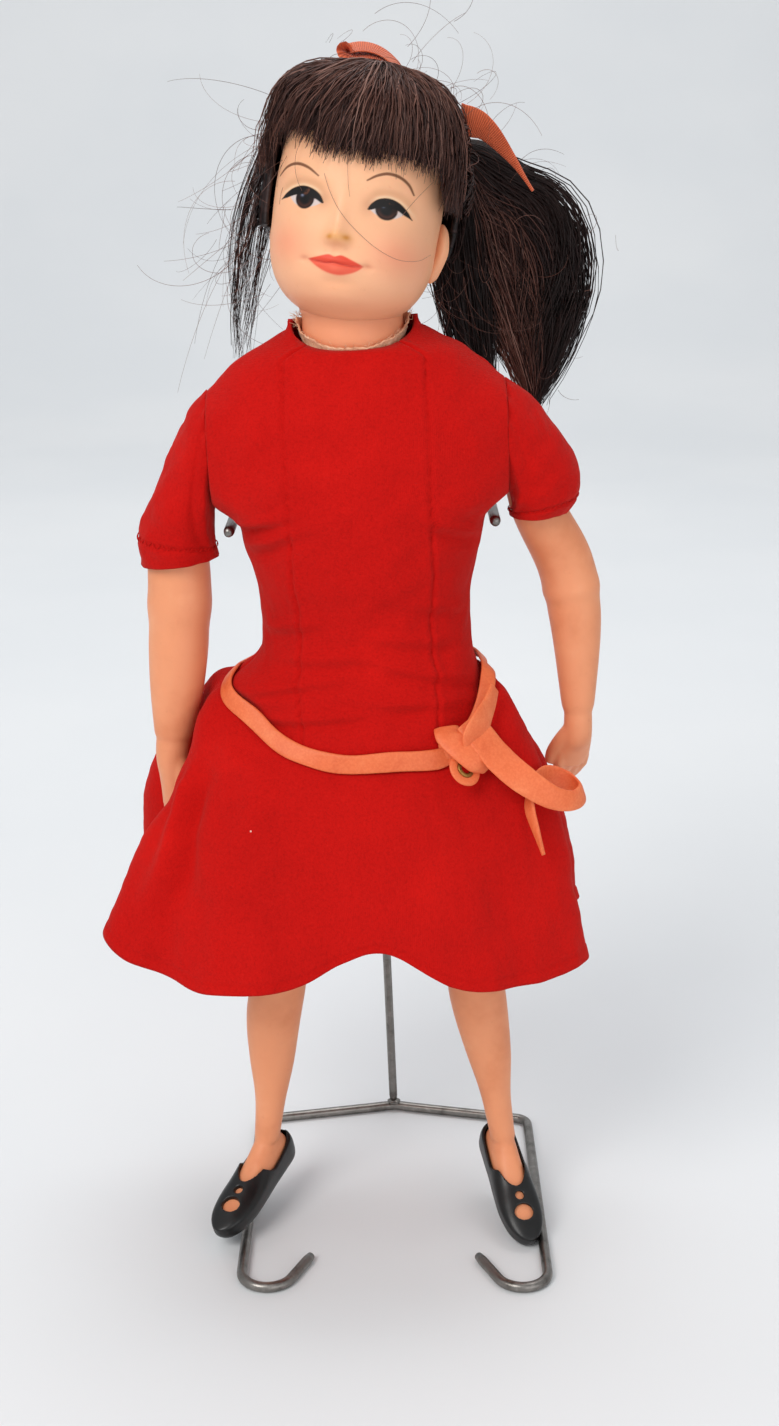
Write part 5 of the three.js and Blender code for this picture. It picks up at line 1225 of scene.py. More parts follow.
def head(look):
    """The painted head with its ears and neck, as one piece."""
    front = np.radians(np.linspace(-82, 82, 262))
    rest = np.radians(np.linspace(82, 278, 52)[1:-1])
    columns = np.concatenate([front, rest])
    levels = np.concatenate([np.linspace(-29.49, -27, 10), np.linspace(-26.85, 13, 236),
                             np.linspace(13.4, 29.49, 40)])
    angle, up = np.meshgrid(columns, levels)
    grid = head_point(angle, up, 0, relief=True)
    paint = paint_face(grid[..., 0], grid[..., 2])
    skin = np.array(rgb(240, 184, 148))
    facing = smoothstep(0.05, 0.3, np.cos(angle))[..., None]
    paint = paint * facing + skin * (1 - facing)
    rows, count = angle.shape
    points, faces = [on_head(grid).reshape(-1, 3)], [grid_faces(rows, count, True)]
    colours = [paint.reshape(-1, 3)]

    def add(grid_in, tone):
        rows_in, columns_in = grid_in.shape[:2]
        faces.append(grid_faces(rows_in, columns_in, True) + sum(map(len, points)))
        points.append(grid_in.reshape(-1, 3))
        colours.append(np.ones((rows_in * columns_in, 3)) * tone)

    # Ears: an oval leaf with a rolled rim and a hollow in front of it
    for side in (-1, 1):
        around, over_pole = np.meshgrid(circle(72), np.linspace(-0.499, 0.499, 48) * PI)
        ear = np.stack([np.cos(over_pole) * np.cos(around), np.cos(over_pole) * np.sin(around),
                        np.sin(over_pole)], -1)
        outer = ear[..., 0] * side > 0
        rim = np.hypot(ear[..., 1] * 1.05, ear[..., 2])
        hollow = np.where(outer, spot(ear[..., 1], ear[..., 2], -0.12, 0.12, 0.42, 0.5), 0)
        fold = np.where(outer, bell(rim, 0.8, 0.13), 0)
        lower = smoothstep(0.2, -1.0, ear[..., 2])
        ear = ear * np.array([1.75, 3.6, 7.2 if side > 0 else 6.2])
        ear[..., 1] *= 1 - 0.42 * lower
        ear[..., 0] += side * (0.55 * fold - 1.35 * hollow - 1.2 * lower)
        # The right ear lies flat under the hair
        turn = math.radians(29 if side > 0 else 10) * side
        x = ear[..., 0] * math.cos(turn) - ear[..., 1] * math.sin(turn)
        y = ear[..., 0] * math.sin(turn) + ear[..., 1] * math.cos(turn)
        ear = np.stack([x + (20.4 if side > 0 else -19.4), y + 3.5, ear[..., 2] - (9.9 if side > 0 else 11)],
                       -1)
        add(on_head(ear), rgb(240, 178, 140))
    # Neck: standing on the body, with a soft crease under the chin
    turn, level = net(120, 50, 0)
    z = lerp(241.9, 264, level)
    radius = NECK_RADIUS + 0.25 * np.sin((z - 244) * 0.7) * (z < 252) - 0.25 + 1.8 * smoothstep(249, 262, z)
    neck = np.stack([radius * np.sin(turn), -radius * np.cos(turn), z], -1)
    # Painted shade: the neck is coloured darker than the face, as under the chin
    add(figure(neck), rgb(232, 158, 122))
    obj = mesh_object("face", np.concatenate(points), np.concatenate(faces), look,
                      colours=np.concatenate(colours))
    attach(obj, "head")
    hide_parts("head")


# Hair

def onto_skull(directions, lift):
    """Points over the skull in given directions of the head's own scale, lifted off the scalp."""
    d = unit(directions)
    up = np.clip(d[..., 2], -0.9995, 0.9995) * HEAD_HALF_HEIGHT
    angle = np.arctan2(d[..., 0], -d[..., 1])
    return head_point(angle, up, lift)


PONYTAIL_ROUTE = [(21.4, 17.8, 287.4), (30.8, 22.5, 285.2), (39.5, 25, 275), (46, 25.5, 258), (46.4, 24.5, 242),
                  (45.4, 23, 224.5)]
ponytail_size = profile([[0, 4.6, 4.6], [0.1, 5.2, 4.8], [0.3, 10.5, 7], [0.5, 16.6, 8], [0.7, 15.8, 7],
                         [0.88, 9.5, 4.6], [1, 2.2, 1.6]])


def cap_region(points):
    """Whether each point of the skull lies where the hair is rooted, behind the fringe and round the ears."""
    x, y, z = points[..., 0], points[..., 1], points[..., 2]
    nape = z > -13 + math.tan(math.radians(14)) * y
    return (y > HAIRLINE_DEPTH) & ~((y < 7.5) & (z < np.where(x < 0, -9, -0.5))) & nape


def fringe_edge(x):
    """How high the fringe ends, in the head's own frame."""
    return np.interp(x, *np.array(FRINGE_EDGE).T)


def fullness(directions):
    """How much further, in mm, the hair stands off at the sides of the head."""
    x, z = directions[..., 0], directions[..., 2]
    sides = 2.4 * smoothstep(0.2, 0.7, -x) + 3.4 * smoothstep(0.25, 0.8, x)
    corners = 2.4 * bell(x, -0.55, 0.28) + 1.0 * bell(x, 0.5, 0.25)
    sides = sides * smoothstep(-0.65, -0.15, z) * (1 - 0.5 * smoothstep(0.7, 1, z))
    return sides + corners * smoothstep(0.35, 0.75, z)


def hair_base(look):
    """The dense hair under the strands: one skin over the skull and the forehead."""
    columns, rows = 200, 110
    angle, up = np.meshgrid(circle(columns, -PI), np.linspace(-22, 29.49, rows))
    level = np.clip(up / HEAD_HALF_HEIGHT, -1, 1)
    around = np.sqrt(1 - level ** 2)
    way = np.stack([np.sin(angle) * around, -np.cos(angle) * around, level], -1)
    behind = smoothstep(-7, -2, head_point(angle, up, 0)[..., 1])
    grid = head_point(angle, up, 1.6 + 0.35 * np.sin(angle * 46) * around + 0.8 * fullness(way) * behind)
    keep = cap_region(grid) | ((grid[..., 1] <= HAIRLINE_DEPTH)
                               & (grid[..., 2] > fringe_edge(grid[..., 0]) + 1.6))
    uv = np.stack([angle * 0.02, up * 0.001], -1)
    faces = grid_faces(rows, columns, True)
    kept = keep.reshape(-1)[faces].all(axis=1)
    obj = mesh_object("hair_base", on_head(grid), faces[kept], look, uv=uv)
    thicken(obj, HAIR_THICKNESS)
    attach(obj, "head")


def slerp(a, b, s):
    """From one direction to another over the skull."""
    a, b = unit(a), unit(b)
    angle = np.arccos(np.clip(np.sum(a * b, -1, keepdims=True), -1, 1))
    sine = np.maximum(np.sin(angle), 1e-6)
    return (np.sin((1 - s) * angle) * a + np.sin(s * angle) * b) / sine


def fringe(look):
    """Strands combed forward over the forehead from the crown, in locks that end unevenly."""
    source = np.random.RandomState(31)
    count, steps, locks = 2300, 12, 150
    lock = source.randint(0, locks, count)
    lock_target = np.radians(np.linspace(-74, 78, locks) + source.normal(0, 1.2, locks))
    lock_tone, lock_drop = source.uniform(0, 1, locks), source.normal(0, 0.9, locks)
    lock_sway = np.radians(source.normal(0, 3.2, locks))
    layer = source.uniform(0, 1, count)
    target = (lock_target + lock_sway)[lock] + np.radians(source.normal(0, 1.3, count))
    s = np.linspace(0, 1, steps)[None, :]
    start_angle = lock_target[lock] * 0.55 + np.radians(source.normal(0, 7, count)) + 0.25
    start_up = source.uniform(25.5, 28.9, count)
    edge = fringe_edge(HEAD_HALF_WIDTH * 1.03 * np.sin(target))
    # Short side strands hang to the top of the ear; a few stray strands end high or low
    side_drop = smoothstep(math.radians(56), math.radians(72), np.abs(target))
    edge = edge - side_drop * np.where(target > 0, 7.5, 8) + lock_drop[lock] + source.normal(0, 0.5, count)
    edge = np.where(source.uniform(0, 1, count) < 0.3, edge + source.uniform(0.5, 8, count), edge)
    angle = lerp(start_angle[:, None], target[:, None], s ** 0.8)
    top_rise = np.arcsin(start_up / HEAD_HALF_HEIGHT)
    low_rise = np.arcsin(np.clip(edge / HEAD_HALF_HEIGHT, -1, 1))
    rise = lerp(top_rise[:, None], low_rise[:, None], s)
    up = HEAD_HALF_HEIGHT * np.sin(rise)
    way = np.stack([np.sin(angle) * np.cos(rise), -np.cos(angle) * np.cos(rise), np.sin(rise)], -1)
    swell = 1.0 + 2.3 * np.sin(PI * np.clip(s * 0.85 + 0.1, 0, 1))
    lift = 1.0 + layer[:, None] ** 0.8 * swell + 0.5 * lock_tone[lock][:, None]
    lift = lift - 1.1 * s ** 3 * (1 - 0.4 * source.uniform(0, 1, count))[:, None] + fullness(way)
    points = head_point(angle, up, lift)
    points += 0.32 * np.cumsum(source.normal(size=(count, steps, 3)), axis=1) * s[..., None] ** 0.7
    # Outer strands are paler and inner ones darker: painted shade deep in the hair; each lock also has its own
    # tone
    tone = np.clip(0.08 + (0.25 + 0.75 * layer) * (0.35 + 0.65 * lock_tone[lock])
                   * source.uniform(0.35, 1.15, count), 0, 1)
    obj = tubes("fringe", on_head(points), source.uniform(0.11, 0.24, count), look, tone=tone, taper=0.3)
    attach(obj, "head")
    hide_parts("bangs")


def swept_hair(look):
    """Hair over the sides and back of the skull, drawn up to the ponytail's base."""
    source = np.random.RandomState(32)
    directions = unit(source.normal(size=(16000, 3)))
    rooted = cap_region(onto_skull(directions, 1.5)) & (directions[:, 2] > -0.75)
    starts = directions[rooted][:3000]
    count, steps, locks = len(starts), 11, 180
    goal = ((np.array(PONYTAIL_ROUTE[0]) - HEAD_CENTRE) @ HEAD_TURN) / HEAD_SCALE
    # Strands lie together in locks: each takes its lock's own tone and bend
    lock = np.argmin(np.linalg.norm(starts[:, None] - starts[None, :locks], axis=2), axis=1)
    lock_tone, lock_bend = source.uniform(0, 1, locks), source.normal(0, 0.05, (locks, 3))
    goal = goal / np.linalg.norm(goal) + source.normal(0, 0.06, (count, 3)) + lock_bend[lock]
    s = np.linspace(0, 1, steps)[None, :, None]
    path = slerp(starts[:, None, :], goal[:, None, :], s)
    sag = (source.normal(0, 0.026, (count, 1, 3)) + 0.6 * lock_bend[lock][:, None]) * np.sin(PI * s)
    layer = source.uniform(0, 1, count)
    way = unit(path + sag)
    lift = 1.5 + layer[:, None] * 1.7 + 2.2 * smoothstep(0.75, 1.0, s[..., 0]) + fullness(way)
    points = onto_skull(way, lift)
    points += 0.28 * np.cumsum(source.normal(size=(count, steps, 3)), axis=1) * np.sin(PI * s) ** 0.5
    # Nothing crosses the face: a strand that starts in front stays behind the hairline
    points[..., 1] = np.maximum(points[..., 1], -7.0 + 2.0 * smoothstep(4, -4, points[..., 2]))
    # Strands lying deeper are darker: painted shade under the outer strands; each lock also has its own tone
    tone = np.clip(0.06 + layer * (0.3 + 0.6 * lock_tone[lock]) * source.uniform(0.35, 1.15, count), 0, 1)
    obj = tubes("swept_hair", on_head(points), source.uniform(0.11, 0.22, count), look, tone=tone, taper=0.7)
    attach(obj, "head")
    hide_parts("hair_cap")


def ponytail(look, mass):
    """Strands from the ribbon down, in locks and loose, round a thinner core."""
    source = np.random.RandomState(33)
    route = Route(PONYTAIL_ROUTE)
    count, steps, locks = 2500, 18, 84
    lock = source.randint(0, locks, count)
    s = np.linspace(0.0, 1, steps)[None, :]
    end = np.clip(source.normal(0.93, 0.07, locks)[lock] + source.normal(0, 0.03, count), 0.7, 1.06)
    t = s * end[:, None]
    turn = (source.uniform(0, 2 * PI, locks)[lock] + source.normal(0, 0.16, count))[:, None]
    reach = (source.uniform(0.05, 1, locks)[lock] ** 0.5 + source.normal(0, 0.05, count))[:, None]
    loose = (source.uniform(0, 1, count) < 0.4)[:, None]
    turn = np.where(loose, source.uniform(0, 2 * PI, (count, 1)), turn)
    reach = np.where(loose, source.uniform(0, 1, (count, 1)) ** 0.5, reach)
    lock_tone = source.uniform(0, 1, locks)[lock]
    inside = np.clip(t, 0, 1)
    wide, deep = read(ponytail_size, inside)
    swirl = turn + 0.6 * s * np.sin(turn * 2) + 0.3 * np.sin(s * 5 + lock[:, None] * 2.4)
    swell = 0.94 + 0.08 * np.sin(s * 4.4 + lock[:, None] * 1.7)
    wander = source.normal(0, 0.5, (count, 1)) * np.sin(PI * s * 0.9)
    points = route.beside(inside, reach * swell * wide * np.cos(swirl) + wander,
                          reach * swell * deep * np.sin(swirl))
    points[..., 2] -= 4.6 * bell(t, 0.27, 0.15)
    # A third of the locks fall straight down from the ribbon, behind the ear
    falls = (lock % 3 == 0)[:, None]
    hang = Route([PONYTAIL_ROUTE[0], (26, 20.5, 280), (27.6, 22.5, 266), (29, 22.5, 252), (31.4, 20.5, 232)])
    girth = (0.62 + 0.5 * np.sin(PI * inside ** 1.2)) * 7.6
    straight = hang.beside(inside, girth * (reach * np.cos(turn) + 0.1 * wander), 4.6 * reach * np.sin(turn))
    points = np.where(falls[..., None], straight, points)
    points = points + np.maximum(t - 1, 0)[..., None] * [-2.0, -2.0, -18.0]
    points += 0.16 * np.cumsum(source.normal(size=(count, steps, 3)), axis=1)
    # Painted light and shade: strands on one side of the ponytail are paler as if lit, and the locks that fall
    # behind the ear are dark as shade
    painted_light = np.where(falls[:, 0], 0.12, smoothstep(-0.7, 0.7, (reach * np.cos(turn))[:, 0]) * 0.85 + 0.15)
    tone = np.clip(0.05 + painted_light * (0.3 + 0.7 * lock_tone) * source.uniform(0.3, 1.2, count), 0, 1)
    obj = tubes("ponytail_strands", figure(points), source.uniform(0.11, 0.22, count), look, tone=tone,
                taper=0.45)
    # A core of solid hair inside the strands, thinner than they are, dark as painted shade inside the ponytail
    rows, columns = 60, 48
    rt, ra = np.meshgrid(np.linspace(0, 0.86, rows), circle(columns), indexing="ij")
    wide, deep = read(ponytail_size, rt)
    ridge = 0.6 * (1 + 0.07 * np.sin(ra * 12 + rt * 5)) * (1 - 0.5 * smoothstep(0.55, 0.86, rt))
    core = route.beside(rt, wide * ridge * np.cos(ra) - 2.2 * np.sin(PI * rt), deep * ridge * np.sin(ra))
    uv = np.stack([ra * 0.02, rt * 0.08], -1)
    inner = recalc(mesh_object("ponytail_core", figure(core), grid_faces(rows, columns, True), mass, uv=uv))
    for piece in (obj, inner):
        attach(piece, "head")
    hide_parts("ponytail")


def side_lock(look):
    """The thin loose lock at the doll's right."""
    source = np.random.RandomState(34)
    route = Route([(-16, 15, 293), (-22.5, 16.5, 276), (-26.5, 16, 260), (-29, 15, 242.5)])
    count, steps = 120, 15
    s = np.linspace(0, 1, steps)[None, :]
    end = source.uniform(0.6, 1.08, count)
    t = s * end[:, None]
    turn = source.uniform(0, 2 * PI, count)
    reach = source.uniform(0, 1, count) ** 0.6
    wide = lerp(4.6, 2.2, t) + 2.4 * np.sin(PI * np.clip(t, 0, 1))
    across = reach[:, None] * wide * np.cos(turn)[:, None] + 1.3 * np.sin(t * 6 + turn[:, None] * 3) * t
    upward = reach[:, None] * 3.0 * np.sin(turn)[:, None]
    points = route.beside(np.clip(t, 0, 1), across, upward)
    points[..., 2] -= np.maximum(t - 1, 0) * 50
    tone = source.uniform(0, 0.45, count)
    obj = tubes("side_lock_strands", figure(points), source.uniform(0.07, 0.13, count), look, tone=tone,
                taper=0.4)
    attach(obj, "head")
    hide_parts("side_lock")


def stray_hair(look):
    """Loose strands that stand off the hair in open loops."""
    source = np.random.RandomState(35)
    steps = 34
    lines = []
    # Where they leave the head in the doll's frame, which way, how long and how many
    for place, heading, long, count, spread in (
        ((-13, -4, 292), (-1.0, -0.2, -0.1), 30, 22, 5), ((-17, 3, 284), (-1.0, 0.0, -0.5), 34, 22, 6),
        ((-20, 6, 268), (-0.9, 0.1, -0.8), 34, 22, 6), ((2, 0, 307), (-0.5, -0.2, 0.5), 16, 12, 7),
        ((14, 4, 305), (0.8, 0.0, 0.5), 24, 20, 7), ((24, 10, 298), (1.0, 0.1, 0.35), 26, 18, 6),
        ((34, 20, 284), (0.7, 0.0, 0.5), 18, 12, 6), ((46, 22, 262), (0.8, 0.0, -0.2), 14, 14, 8),
        ((24, 14, 258), (0.2, -0.1, -1.0), 26, 26, 4), ((44, 22, 238), (-0.2, -0.1, -1.0), 14, 18, 7),
    ):
        for _ in range(count):
            start = np.array(place) + source.normal(0, spread, 3) * [1, 0.7, 1]
            way = np.array(heading) + source.normal(0, 0.35, 3)
            way /= np.linalg.norm(way)
            curl = np.cross(way, source.normal(size=3))
            curl /= np.linalg.norm(curl)
            curl[1] *= 0.4
            length = long * source.uniform(0.35, 1.15)
            bend = source.uniform(0.6, 3.4)
            s = np.linspace(0, 1, steps)
            ahead = np.sin(s * bend) / bend
            aside = (1 - np.cos(s * bend)) / bend
            point = start + length * (ahead[:, None] * way + aside[:, None] * curl)
            point[:, 2] -= 0.18 * length * s ** 2
            lines.append(point)
    lines = np.array(lines)
    lines[..., 0] = np.clip(lines[..., 0], -76, 68)
    lines[..., 2] = np.minimum(lines[..., 2], 326)
    obj = tubes("stray_hair", figure(lines), source.uniform(0.04, 0.065, len(lines)), look,
                tone=source.uniform(0.45, 1.0, len(lines)), taper=0.6)
    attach(obj, "head")
    # Three that lie over the face
    face_lines = []
    for path in (
        [(1.2, 12.5), (0.2, 8.0), (0.8, 2.0), (1.6, -1.5)],
        [(-4.5, 3.0), (-2.6, -0.9), (1.2, -6.2), (4.4, -9.0), (9.3, -12.0), (14.5, -13.6), (18.5, -12.8),
         (20.4, -10.8)],
        [(13.4, -3.6), (15.2, -0.6), (17.6, 3.0), (19.3, 5.6)],
    ):
        flat = smooth_line(path, samples=steps - 1)
        angle = np.arcsin(np.clip(flat[:, 0] / (HEAD_HALF_WIDTH * 1.06), -0.995, 0.995))
        face_lines.append(head_point(angle, flat[:, 1], 0.75, relief=True))
    obj = tubes("face_strands", on_head(face_lines), 0.06, look, tone=np.array([0.9, 1.0, 0.9]), taper=0.6)
    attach(obj, "head")


# Ribbon

def ribbon(look):
    """Wound round the ponytail's base, with a knot, one standing loop and a hanging tail."""
    route = Route(PONYTAIL_ROUTE)
    columns, rows = 200, 14
    a, v = net(columns, rows, 0)
    t = lerp(0.055, 0.115, v)
    wide, deep = read(ponytail_size, t)
    lift = 0.6 + 0.3 * np.sin(v * PI * 3) + 0.12 * np.sin(a * 9 + v * 5)
    grid = route.beside(t, (wide + lift) * np.cos(a), (deep + lift) * np.sin(a))
    uv = np.stack([a * 0.006, v * 0.005], -1)
    wrap = mesh_object("ribbon_winding", figure(grid), grid_faces(rows, columns, True), look, uv=uv)
    thicken(wrap, RIBBON_THICKNESS)
    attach(wrap, "head")
    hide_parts("ribbon_wrap")

    middle_t = 0.085
    wide = ponytail_size([middle_t])[0][0]
    knot = route.beside(np.array([middle_t]), np.array([-(wide + 0.35 + 0.7 + 0.3 + 2.2)]), [0.0])[0]
    tangent, side, over_it = [v[0] for v in route.frame(np.array([middle_t]))]

    def local(points):
        return np.array([knot - side * b + tangent * a + over_it * c for a, b, c in points])

    for name, points, width in (
        ("ribbon_knot_turn", [(-2.2, -1.6, -2.2), (-1.8, 1.2, -2.0), (0.2, 2.2, 0.2), (1.8, 1.2, 2.2),
                              (2.0, -1.4, 2.4)], 4.4),
        ("ribbon_knot_cross", [(1.8, -1.4, -2.4), (1.4, 1.0, -1.8), (0, 1.7, 0), (-1.4, 0.8, 1.9),
                               (-1.8, -1.4, 2.2)], 4.0),
    ):
        piece = strip_of(name, local(points), over_it * 0.3 + tangent, width, look, steps=50, bow=0.3,
                         thickness=0.6)
    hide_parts("ribbon_knot")
    loop_points = [knot + np.array(p) for p in ((-0.6, 0.4, 2.85), (-2.6, 2.4, 0.9))]
    loop_route = [loop_points[0], (17, 30, 304), (13, 31, 309.6), (8.6, 32, 313), (4.2, 32, 314),
                  (0.6, 31.5, 313.2), (1.8, 30.8, 312.3), (7, 30.4, 311.9), (11.8, 30.2, 309.4),
                  (15.6, 30.2, 301), loop_points[1]]
    loop = strip_of("ribbon_bow_loop", loop_route, (0, 1, 0.34), RIBBON_WIDTH, look, steps=150, bow=0.25,
                    widths=lambda t: 0.55 + 0.45 * np.sin(PI * np.clip(t, 0, 1)) ** 0.5)
    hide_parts("ribbon_loop")
    tail_route = [knot + np.array((2.85, -2.1, 1.1)), (29.4, 12.6, 295.6), (34, 11.4, 293.4),
                  (40.2, 11.4, 286.4), (45.8, 12.4, 278)]
    tail = strip_of("ribbon_end", tail_route, (-0.1, -0.35, 1), RIBBON_WIDTH, look, steps=110, bow=0.3,
                    widths=lambda t: (0.6 + 0.4 * smoothstep(0, 0.25, t)) * (1 - 0.9 * smoothstep(0.3, 1.0, t)))
    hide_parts("ribbon_tail")


# Limbs

def closed_tube(points_of_ring):
    """Points and faces of a tube with fan ends, from a grid (rings, round)."""
    rings, round_count = points_of_ring.shape[:2]
    points = points_of_ring.reshape(-1, 3)
    quads = grid_faces(rings, round_count, True)
    triangles = np.concatenate([quads[:, [0, 1, 2]], quads[:, [0, 2, 3]]])
    caps = []
    for ring in (0, rings - 1):
        middle = len(points) + (ring > 0)
        index = ring * round_count + np.arange(round_count)
        caps.append(np.stack([index, np.roll(index, -1), np.full(round_count, middle)], -1))
    points = np.concatenate([points, points_of_ring[[0, -1]].mean(axis=1)])
    return points, np.concatenate([triangles, *caps])


def welded(name, parts, voxel, look, passes):
    """Closed tubes melted into one skin."""
    starts = np.cumsum([0] + [len(points) for points, _ in parts])
    faces = np.concatenate([faces + start for (_, faces), start in zip(parts, starts)])
    obj = recalc(mesh_object(name, figure(np.concatenate([points for points, _ in parts])), faces, look))
    melt(obj, voxel, passes, look)
    return obj


ARMS = {
    "right": {
        "route": [(37.2, 0, 220.5), (41.8, 0.5, 212.5), (46.8, 1.5, 200), (48.2, 2.4, 181), (50.6, 2.4, 158),
                  (53, 2, 140)],
        "tip": (54.3, 2, 113), "turn": -20, "round": [7, 5.9, 7.4, 8.2, 7.2, 4.6],
    },
    "left": {
        "route": [(37.2, 0, 220.5), (41.6, 2, 212.5), (45, 5, 200), (52.2, 9, 184), (54.6, 9, 170),
                  (54.8, 5, 140)],
        "tip": (51.8, 14, 122), "turn": -65, "round": [7, 6.4, 6.8, 7.4, 6.9, 3.7],
    },
}
# Each finger: how far forward it stands, and its tip as a share of the way from wrist to tip
FINGERS = [(-3.6, 0.86), (-1.25, 0.97), (1.15, 1.0), (3.4, 0.94)]


def sweep_grid(route, t, turn, wide, deep):
    return route.beside(t[:, None] + 0 * turn[None], wide[:, None] * np.cos(turn)[None],
                        deep[:, None] * np.sin(turn)[None])


def drum(across, radii, turn, height):
    """A round pin that lies across the doll, from its places and radii."""
    x = np.broadcast_to(across[:, None], (len(across), len(turn)))
    return closed_tube(np.stack([x, radii[:, None] * np.cos(turn), height + radii[:, None] * np.sin(turn)], -1))


def arm(name, side, look):
    """A straight arm with its palm, four fingers, a thumb and the stem it turns on."""
    shape = ARMS[name]
    route = Route(shape["route"])
    turn = circle(40)
    t = np.linspace(0, 1, 80)
    rounds = shape["round"]
    knots = np.linspace(0, 1, len(rounds))
    sizes = profile(np.stack([knots, rounds], 1))(t)[0] * (1 - 0.3 * smoothstep(0.955, 1, t))
    elbow = 0.62 if name == "right" else 0.7
    sizes = sizes + 0.25 * bell(t, elbow, 0.03) - 0.2 * bell(t - elbow, 0.05, 0.03)
    parts = [closed_tube(sweep_grid(route, t, turn, sizes, sizes * 0.97))]
    wrist, tip = np.array(shape["route"][-1], float), np.array(shape["tip"], float)
    turn_x, turn_y = math.cos(math.radians(shape["turn"])), math.sin(math.radians(shape["turn"]))

    def along(share, outward, forward):
        place = lerp(wrist, tip, share)
        return place + np.array([outward * turn_x - forward * turn_y, outward * turn_y + forward * turn_x, 0])

    palm_line = Route([route.at(np.array([0.93]))[0], along(0.08, 0.1, 0), along(0.3, 0.1, 0),
                       along(0.6, 0, 0)])
    pt = np.linspace(0, 1, 26)[:, None]
    palm_wide = lerp(rounds[-1], 5.1, smoothstep(0.1, 1, pt)) * (1 - 0.14 * smoothstep(0.8, 1, pt))
    palm_wide = palm_wide * np.sin(turn)
    palm_thick = lerp(rounds[-1], 3, smoothstep(0.2, 1, pt)) * np.cos(turn)
    parts.append(closed_tube(palm_line.beside(pt + 0 * turn, palm_wide * turn_y - palm_thick * turn_x,
                                              palm_thick * turn_y + palm_wide * turn_x)))
    ft = np.linspace(0, 1, 34)
    blunt = 1 - 0.75 * smoothstep(0.9, 1.0, ft) ** 2
    for spread, length in FINGERS:
        line = Route([along(0.36, 0.1, spread * 0.9), along(0.62, 0.6, spread),
                      along(0.8 * length, 0.1, spread * 0.9),
                      along(length, -1.4, spread * 0.72)])
        size = lerp(1.85, 1.35, ft) * (1 + 0.08 * bell(ft, 0.45, 0.06)) * blunt
        parts.append(closed_tube(sweep_grid(line, ft, turn[::2], size * 0.95, size)))
    line = Route([along(0.02, -0.6, -1.4), along(0.24, -1.2, -3.8), along(0.44, -1.6, -5.2),
                  along(0.62, -1.4, -5.4)])
    size = lerp(2.5, 1.6, ft) * blunt
    parts.append(closed_tube(sweep_grid(line, ft, turn[::2], size, size)))
    if side < 0:
        parts = [(points * [-1, 1, 1], faces) for points, faces in parts]
    # Shoulder stem, as on the solid, which goes through the body's side
    parts.append(drum(side * np.linspace(31, 40, 12), np.full(12, 4.0), turn, 222))
    obj = welded(f"arm_{name}_skin", parts, 0.42, look, 5)
    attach(obj, f"arm_{name}")
    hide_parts(f"arm_{name}")


LEG_LENGTH = 127.3
LEG_SPLAY = {"right": 9, "left": 7.3}
CALF_LEAN = {"right": 1.3, "left": -0.7}
# Of each foot: how far it turns out and down in degrees, and how much lower than the straight leg it hangs
FOOT_POSES = {"right": (28, 15, 1), "left": (15, 27, 2.6)}
FOOT_LENGTH = 36
ANKLE_FROM_HEEL = 7
ANKLE_HEIGHT = 6.5
leg_section = profile([
    [3, 3.4, 9, 12.6, 12.6], [13, 2.6, 9.8, 13, 13], [21, 1, 11.6, 12.8, 13], [34, 0, 12.2, 12.4, 12.2],
    [50, 0, 10.8, 11, 10.2], [64, 0, 8.8, 9.4, 8], [74, 0.3, 7.6, 7.9, 7.6], [86, 0.5, 7.8, 7, 9],
    [102, 0.4, 6.4, 5.6, 7.4], [116, 0.1, 4.3, 4.2, 5], [LEG_LENGTH, 0, 3.6, 4, 4.4],
])
foot_section = profile([
    [0, 2.3, 2.6, 2.4], [3, 3.6, 3.5, 6], [8, 4, 3.5, 8.6], [14, 4.2, 3.4, 6.2], [20, 4.6, 3.4, 3.4],
    [26, 4.7, 3.4, 1.9], [31, 3.8, 3.2, 0.8], [FOOT_LENGTH, 1.5, 2.6, -0.6],
])


def foot_place(name, points):
    """From the foot's own frame, its origin at the heel and +X along the sole, to the doll's left side."""
    yaw, pitch, drop = FOOT_POSES[name]
    splay = math.radians(LEG_SPLAY[name])
    reach = LEG_LENGTH + drop
    ankle = np.array([HIP_REACH + reach * math.sin(splay), 0, HIP_HEIGHT - reach * math.cos(splay)])
    flat = np.asarray(points, float).reshape(-1, 3) - [ANKLE_FROM_HEEL, 0, ANKLE_HEIGHT]
    turn = turned(0, 0, yaw - 90) @ turned(0, pitch, 0)
    return (flat @ turn.T + ankle).reshape(np.shape(points))


def foot_form(margin, sole_margin):
    """The foot's rings, or a shoe's: larger all round by a margin, and by its own one below."""
    x = FOOT_LENGTH * (1 - np.cos(np.linspace(0, PI, 70))) / 2
    wide, sole, instep = foot_section(x)
    turn = circle(64)
    above = (instep + margin)[:, None] * np.sin(turn)
    below = (sole + sole_margin)[:, None] * signed_power(np.sin(turn), 0.45)
    height = np.where(np.sin(turn) > 0, above, below)
    across = (wide + margin)[:, None] * signed_power(np.cos(turn), 0.85)
    from_middle = 2 * x / FOOT_LENGTH - 1
    blunt = np.sqrt(np.clip(1 - ((x - FOOT_LENGTH / 2) / (FOOT_LENGTH / 2)) ** 16, 0.02, 1))[:, None]
    forward = x + margin * from_middle
    return np.stack([np.broadcast_to(forward[:, None], height.shape), across * blunt,
                     height * lerp(1, blunt, 0.8)], -1)


